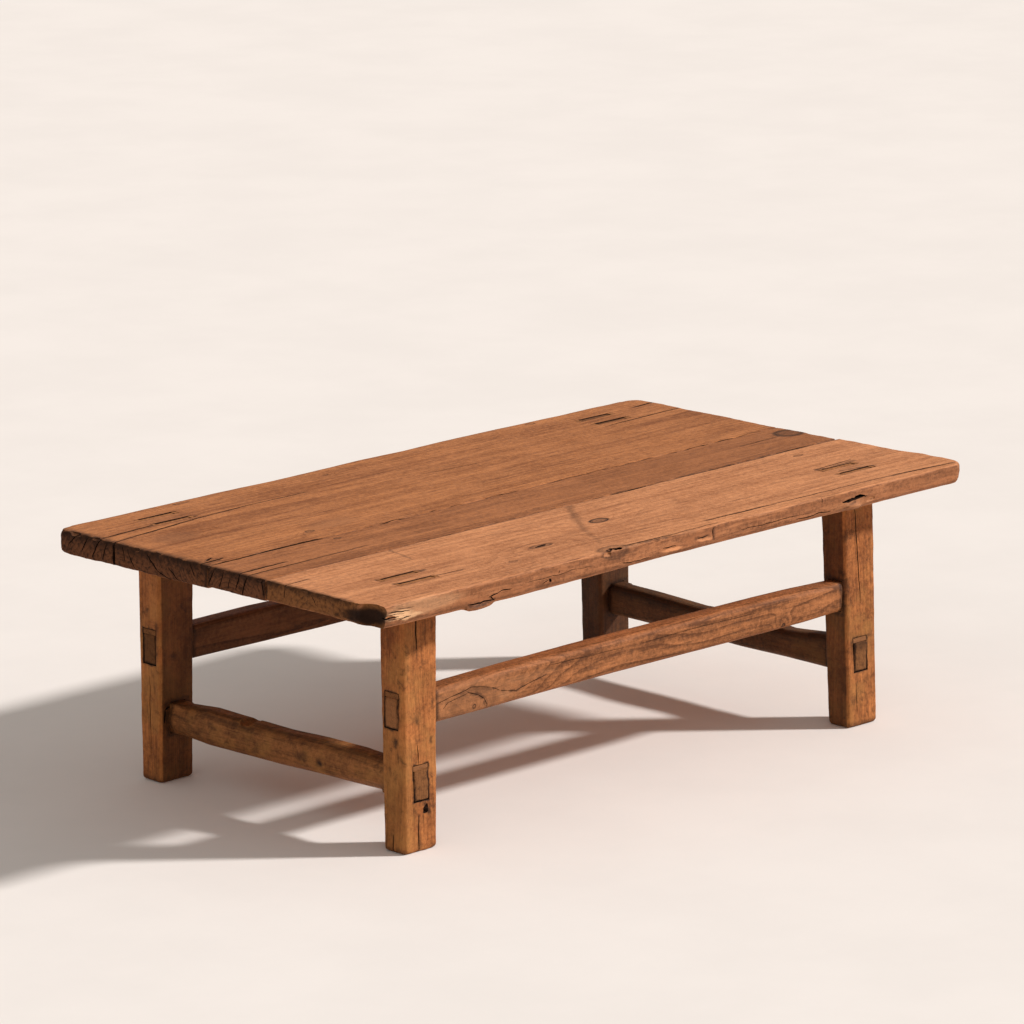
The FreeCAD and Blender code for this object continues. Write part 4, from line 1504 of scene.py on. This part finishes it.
BAR_SHAPES = {
    "front_stretcher": (
        (0, -1, 1.0), (0, 1, 1.02), (1, 2.5, 1.0), (2, 3, 1.03), (2.5, 3, 1.0), (2, 3, 0.98),
        (2, 2, 1.02), (1, 2, 1.0), (1, 1.5, 0.98), (1, 0, 0.98), (3, -3, 0.92),
    ),
    "back_stretcher": (
        (1, 0, 1.0), (0, 1, 1.02), (-1, -1, 0.98), (0, 0, 1.0), (1, 0, 1.02), (0, 1, 1.0), (1, -1, 0.97),
    ),
    "left_stretcher": (
        (7, 2, 0.94), (5, 5, 1.0), (4, 4, 1.03), (1, 0.5, 1.02), (0, 1, 1.0), (-1, 2.5, 1.0), (3, -4, 0.9),
    ),
    "right_stretcher": ((0, 3, 0.98), (1, -6, 1.0), (0, 0, 1.02), (1, -5, 1.0), (0, -2, 1.0), (0, 0, 0.97)),
}

# Bold grain of the front stretcher, in millimetres: width, strength, width of a groove, points.

FRONT_FACE = -273
FIGURE_DROP = 7
GROOVE_OVERLAP = 0.22
BAR_FIGURE = (
    (4.0, 0.75, 1.3, (
        (-432, 217), (-408, 222), (-378, 226), (-364, 229), (-343, 226), (-322, 221), (-304, 212),
        (-289, 209), (-271, 206), (-240, 213), (-210, 218),
    )),
    (6.5, 0.85, 1.6, ((-370, 222), (-349, 215), (-337, 207), (-331, 197), (-330, 190), (-319, 191))),
    (4.0, 0.65, 1.0, ((-420, 208), (-411, 215), (-390, 218), (-373, 221))),
    (3.6, 0.5, 0.9, ((-198, 231), (-115, 229), (-11, 227), (120, 229), (260, 226))),
    (4.0, 0.55, 0, ((-313, 227), (-301, 233), (-283, 234), (-271, 228), (-259, 216))),
    (4.0, 0.6, 0, ((-190, 199), (-90, 196), (10, 199), (110, 194), (210, 197), (320, 192))),
    (4.0, 0.5, 0, ((-150, 210), (-30, 206), (90, 210), (200, 205), (300, 209), (390, 204))),
    (3.4, 0.5, 0, ((-430, 228), (-404, 233), (-372, 237), (-345, 236), (-320, 231))),
    (3.4, 0.55, 0, ((-425, 200), (-408, 206), (-392, 209), (-372, 210), (-356, 205), (-347, 197))),
    (3.4, 0.45, 0, ((-318, 200), (-300, 202), (-276, 198), (-245, 203), (-205, 209), (-160, 212))),
)

# Stains, knots and patches of the stretchers, in millimetres and in the order of the boards' ones.

LONG_BAR_STAINS = (
    ((-417, -273, 199), (-411, -273, 184), 4, 0.7), ((-436, -273, 190), (-428, -273, 182), 8, 0.7),
    ((-130, -273, 184), (-60, -273, 185), 5, 0.5),
)
LONG_BAR_KNOTS = (
    ((-357, -273, 196), (95, 60, 50), 0.35), ((-285, -273, 215), (60, 50, 34), 0.15),
    ((-357, -273, 192), (8, 12, 8), 0.9), ((310, -273, 187), (11, 14, 11), 1.0),
)
LONG_BAR_PATCHES = (
    ((-295, -273, 198), (26, 20, 10), 0.6, "torn"), ((-361, -273, 184), (40, 20, 8), 0.6, "torn"),
    ((-240, -273, 215), (120, 20, 14), 0.3, "torn"), ((-370, -273, 203), (240, 24, 70), 0.35, "torn"),
    ((-512, -258, 200), (18, 70, 90), 0.3, "torn"), ((-512, 258, 200), (18, 90, 90), 0.35, "crack"),
)
# Marks on the left stretcher's outer face; the last three lines run along its top and are painted shade.
END_BAR_STAINS_AND_SHADE = (
    ((-499, -55, 106), (-499, -44, 100), 13, 0.6), ((-499, -91, 97), (-499, -87, 98), 9, 0.95),
    ((-499, -121, 102), (-499, -130, 86), 6, 0.8), ((-499, -139, 104), (-499, -136, 88), 6, 0.7),
    ((-499, -152, 98), (-499, -150, 84), 5, 0.6), ((-499, -46, 111), (-499, -56, 95), 6, 0.7),
    ((-499, 84, 123), (-499, 66, 121), 8, 0.8), ((-499, 150, 110), (-499, 138, 104), 7, 0.7),
    ((-492, 170, 120), (-492, 60, 117), 7, 0.6), ((-486, -215, 127), (-484, 60, 123), 11, 0.55),
    ((-484, 100, 125), (-484, 230, 122), 9, 0.5),
)


def stretches(points):
    """The stretches between neighbouring points of a figure line, as pairs of points on the front face."""
    spots = [Vector((x, FRONT_FACE, z - FIGURE_DROP)) for x, z in points]
    return list(zip(spots, spots[1:]))


def groove(start, end, width):
    """A shallow groove along one stretch of a figure line, a little longer than the stretch."""
    more = (end - start) * GROOVE_OVERLAP
    start, end = mm(*(start - more)), mm(*(end + more))
    return sliver(start, end, TO_FRONT, width * 0.001, depth=0.0042, wobble=0.002)


def long_stretcher_wood():
    """The figured wood of the front and back stretchers."""
    wood = look().wood
    figure = [
        (start, end, width, strength)
        for width, strength, _, points in BAR_FIGURE
        for start, end in stretches(points)
    ]
    return old_wood(
        "Long stretcher wood", wood.bar_light, wood.bar_dark, pith=(0, 120, -180), ring=0.0045, wander=0.035,
        rings=0.85, streaks=0.5, grime=0.3, checks=0.4, knots=LONG_BAR_KNOTS, patches=LONG_BAR_PATCHES,
        lines=(*figure, *LONG_BAR_STAINS), rims=joint_rims_and_shade(LONG_STRETCHERS),
    )


def end_stretcher_wood():
    """The grimy wood of the end stretchers, with painted shade along the top of the left one and painted
    shadow along the upper edge of the right one.
    """
    wood = look().wood
    low, high = box_of("right_stretcher")
    # Painted shadow of the top, as a dark patch along the right stretcher's upper edge.
    right_edge_shadow = ((low.x + high.x) * 500, 0, high.z * 1000)
    return old_wood(
        "End stretcher wood", wood.end_bar_light, wood.end_bar_dark, axis="Y", pith=(0, 0, -88), ring=0.0045,
        wander=0.03, rings=0.45, streaks=0.6, blotches=0.45, grime=0.65, checks=0.4, tint=wood.straw,
        patches=((right_edge_shadow, (110, 900, 40), 0.6, "crack"),), lines=END_BAR_STAINS_AND_SHADE,
        rims=joint_rims_and_shade(END_STRETCHERS),
    )


def bar(stretcher):
    """The bar and the two tenons of a stretcher, before its skin."""
    axis = run_of(stretcher)
    first, last = STRETCHER_ENDS[stretcher]
    low, high = box_of(stretcher)
    height = (low.z + high.z) / 2
    start = leg_section(first, height)[1][axis]
    finish = leg_section(last, height)[0][axis]
    body_low, body_high = low.copy(), high.copy()
    body_low[axis], body_high[axis] = start - SHOULDER_SINK, finish + SHOULDER_SINK
    body = block(stretcher + "_bar", body_low, body_high)
    shape_bar(body, stretcher, body_low, body_high)
    pieces = [body]
    runs = ((first, (low[axis], start + TENON_ROOT)), (last, (finish - TENON_ROOT, high[axis])))
    for leg, ends in runs:
        tenon_low, tenon_high = tenon_end(stretcher, leg)
        tenon_low[axis], tenon_high[axis] = ends
        pieces.append(block("tenon", tenon_low, tenon_high))
    return weld(pieces)


def shape_bar(body, stretcher, low, high):
    """Bows and thins a bar station by station, then rounds its long arrises."""
    axis = run_of(stretcher)
    across = 1 - axis
    stations = BAR_SHAPES[stretcher]
    divide(body, axis, len(stations) - 2)
    step = (high[axis] - low[axis]) / (len(stations) - 1)
    middle = (low + high) / 2
    for index, (lower, upper, deep) in enumerate(stations):
        place = low[axis] + step * index
        here = lambda p: abs(p[axis] - place) < step / 4
        shift(body, lambda p: here(p) and p.z < middle.z, mm(0, 0, lower))
        shift(body, lambda p: here(p) and p.z > middle.z, mm(0, 0, upper))
        grow = [1, 1, 1]
        grow[across] = deep
        resize(body, here, grow, middle)
    outer = -1 if stretcher in ("left_stretcher", "front_stretcher") else 1
    soft, crisp = (0.010, 0.008) if axis == 0 else (0.019, 0.011)

    def on_side(m, run, side, reach):
        return abs(run.normalized()[axis]) > ON_AXIS and (m[across] - middle[across]) * side > reach

    def at_end(m, run):
        return abs(m[axis] - low[axis]) < 1e-4 or abs(m[axis] - high[axis]) < 1e-4

    round_off(body, lambda m, run: on_side(m, run, outer, 0.005), soft, 5)
    round_off(body, lambda m, run: on_side(m, run, -outer, 0.012) and abs(m.z - middle.z) > 0.02, crisp, 4)
    round_off(body, at_end, 0.003, 2)


def weather_bar(piece, stretcher, seed):
    """Low waves, and dented arrises between the legs."""
    sizes = look().frame
    axis = run_of(stretcher)
    low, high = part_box(stretcher)
    stretch = (4, 1, 1) if axis == 0 else (1, 4, 1)
    skin(piece, sizes.bar_skin)
    relax(piece, 2)
    waves(piece, clouds("Bar waves", 0.03), sizes.unevenness * 2, stretch, (0.4 * seed, 0.2, 0.1))
    arrises = gather_arrises(piece, lambda p: low[axis] + NEAR_LEG < p[axis] < high[axis] - NEAR_LEG)
    waves(piece, clouds("Bar nicks", 0.012, 3), sizes.nicks * 2, stretch, (0, 0, 0.3 * seed), arrises, 0.58)


class PLANK_OT_stretchers(bpy.types.Operator):
    """Models the two long and the two end stretchers"""

    bl_idname = "plank_table.stretchers"
    bl_label = "Stretchers"

    def execute(self, context):
        woods = (long_stretcher_wood(), end_stretcher_wood())
        for seed, stretcher in enumerate(STRETCHER_ENDS):
            piece = bar(stretcher)
            weather_bar(piece, stretcher, seed)
            material = woods[run_of(stretcher)]
            clothe(piece, material)
            if stretcher == "front_stretcher":
                for _, _, width, points in BAR_FIGURE:
                    if width:
                        carve_row(piece, [groove(start, end, width) for start, end in stretches(points)])
            if stretcher == "left_stretcher":
                carve(piece, gouge((-480, 82, 125.5), (64, 26, 15), (8, 0, 0), 0.005), wall=material)
            hand_over(piece, stretcher)
        return {"FINISHED"}


# The wedges and pins


class PLANK_OT_wedges(bpy.types.Operator):
    """Gives the wedges and the hidden pins, whose shapes stay as they are, their wood"""

    bl_idname = "plank_table.wedges"
    bl_label = "Wedges and pins"

    def execute(self, context):
        wood = look().wood
        hard = (wood.wedge, wood.tenon_end)
        upright = old_wood(
            "Head wedge wood", *hard, axis="Z", ring=0.003, wander=0.004, checks=0.45, end=wood.tenon_top
        )
        lying = old_wood("Side wedge wood", *hard, ring=0.003, wander=0.004, checks=0.45)
        across = old_wood("Pin wood", *hard, axis="Y", ring=0.0015, wander=0.002)
        for name, node in frame["nodes"].items():
            if name.startswith("head_wedges"):
                material = upright
            elif name.startswith("wedge_"):
                material = lying
            elif name.endswith("_pins"):
                material = across
            else:
                continue
            for holder in node.material_slots:
                holder.material = material
        return {"FINISHED"}


# The stage

KEY_WAY = Vector((-0.48, 0.4, -0.4))
FILL_WAY = Vector((0.8, 0.3, -0.3))
CAMERA_AIM = Vector((0, 0, 0.2))
CAMERA_SHIFT = (-0.0061, 0.1695)


def add_floor():
    """The plain pale floor."""
    deselect()
    bpy.ops.mesh.primitive_plane_add(size=40, location=(0, 0, 0))
    floor = bpy.context.object
    floor.name = "floor"
    material, place = new_finish("Pale floor")
    pale = look().stage.floor
    uneven = ramp(noise(place, 3.0, 6.0, 0.6), 0.3, 0.7)
    lay_on(material, blend(uneven, pale, [value * 0.965 for value in pale]), 1.0, 0.0)
    floor.data.materials.append(material)


def add_sun(name, way, strength, spread):
    """A soft light that comes from far away."""
    deselect()
    turn = way.to_track_quat("-Z", "Y").to_euler()
    bpy.ops.object.light_add(type="SUN", location=way * -10, rotation=turn)
    light = bpy.context.object
    light.name = name
    light.data.energy = strength
    light.data.angle = spread


def add_camera(scene):
    """The camera at the photograph's angle."""
    stage = look().stage
    turn = Euler((math.pi / 2 - stage.elevation, 0, stage.azimuth)).to_matrix()
    turn = turn @ Matrix.Rotation(stage.roll, 3, "Z")
    right, up, back = turn.col
    place = CAMERA_AIM + back * stage.distance + right * CAMERA_SHIFT[0] + up * CAMERA_SHIFT[1]
    deselect()
    bpy.ops.object.camera_add(location=place, rotation=turn.to_euler())
    camera = bpy.context.object
    camera.data.lens = stage.lens
    camera.data.sensor_width = 36
    camera.data.clip_end = 100
    scene.camera = camera


class PLANK_OT_stage(bpy.types.Operator):
    """Sets the floor, the lamps, the even light and the camera"""

    bl_idname = "plank_table.stage"
    bl_label = "Stage"

    def execute(self, context):
        scene = context.scene
        stage = look().stage
        add_floor()
        scene.world = scene.world or bpy.data.worlds.new("World")
        scene.world.use_nodes = True
        sky = scene.world.node_tree.nodes["Background"].inputs
        plug(stage.sky, sky["Color"])
        plug(stage.sky_strength, sky["Strength"])
        add_sun("key", KEY_WAY, stage.key_strength, stage.key_spread)
        add_sun("fill", FILL_WAY, stage.fill_strength, stage.fill_spread)
        add_camera(scene)
        scene.view_settings.view_transform = "Standard"
        return {"FINISHED"}


class PLANK_PT_panel(bpy.types.Panel):
    """Lists the steps of the table"""

    bl_idname = "PLANK_PT_panel"
    bl_label = "Plank table"
    bl_space_type = "VIEW_3D"
    bl_region_type = "UI"
    bl_category = "Plank table"

    def draw(self, context):
        for operator in OPERATORS:
            self.layout.operator(operator.bl_idname)
        for group in (look().top, look().frame, look().wood, look().stage):
            box = self.layout.box()
            for name in group.__annotations__:
                box.prop(group, name)


OPERATORS = (PLANK_OT_boards, PLANK_OT_legs, PLANK_OT_stretchers, PLANK_OT_wedges, PLANK_OT_stage)
CLASSES = (TopSizes, FrameSizes, WoodColours, StageLook, TableLook, *OPERATORS, PLANK_PT_panel)


def register():
    for item in CLASSES:
        bpy.utils.register_class(item)
    bpy.types.Scene.plank_table = PointerProperty(type=TableLook)


def unregister():
    del bpy.types.Scene.plank_table
    for item in reversed(CLASSES):
        bpy.utils.unregister_class(item)


def main():
    register()
    bpy.ops.plank_table.boards()
    bpy.ops.plank_table.legs()
    bpy.ops.plank_table.stretchers()
    bpy.ops.plank_table.wedges()
    bpy.ops.plank_table.stage()


if __name__ == "__main__":
    main()
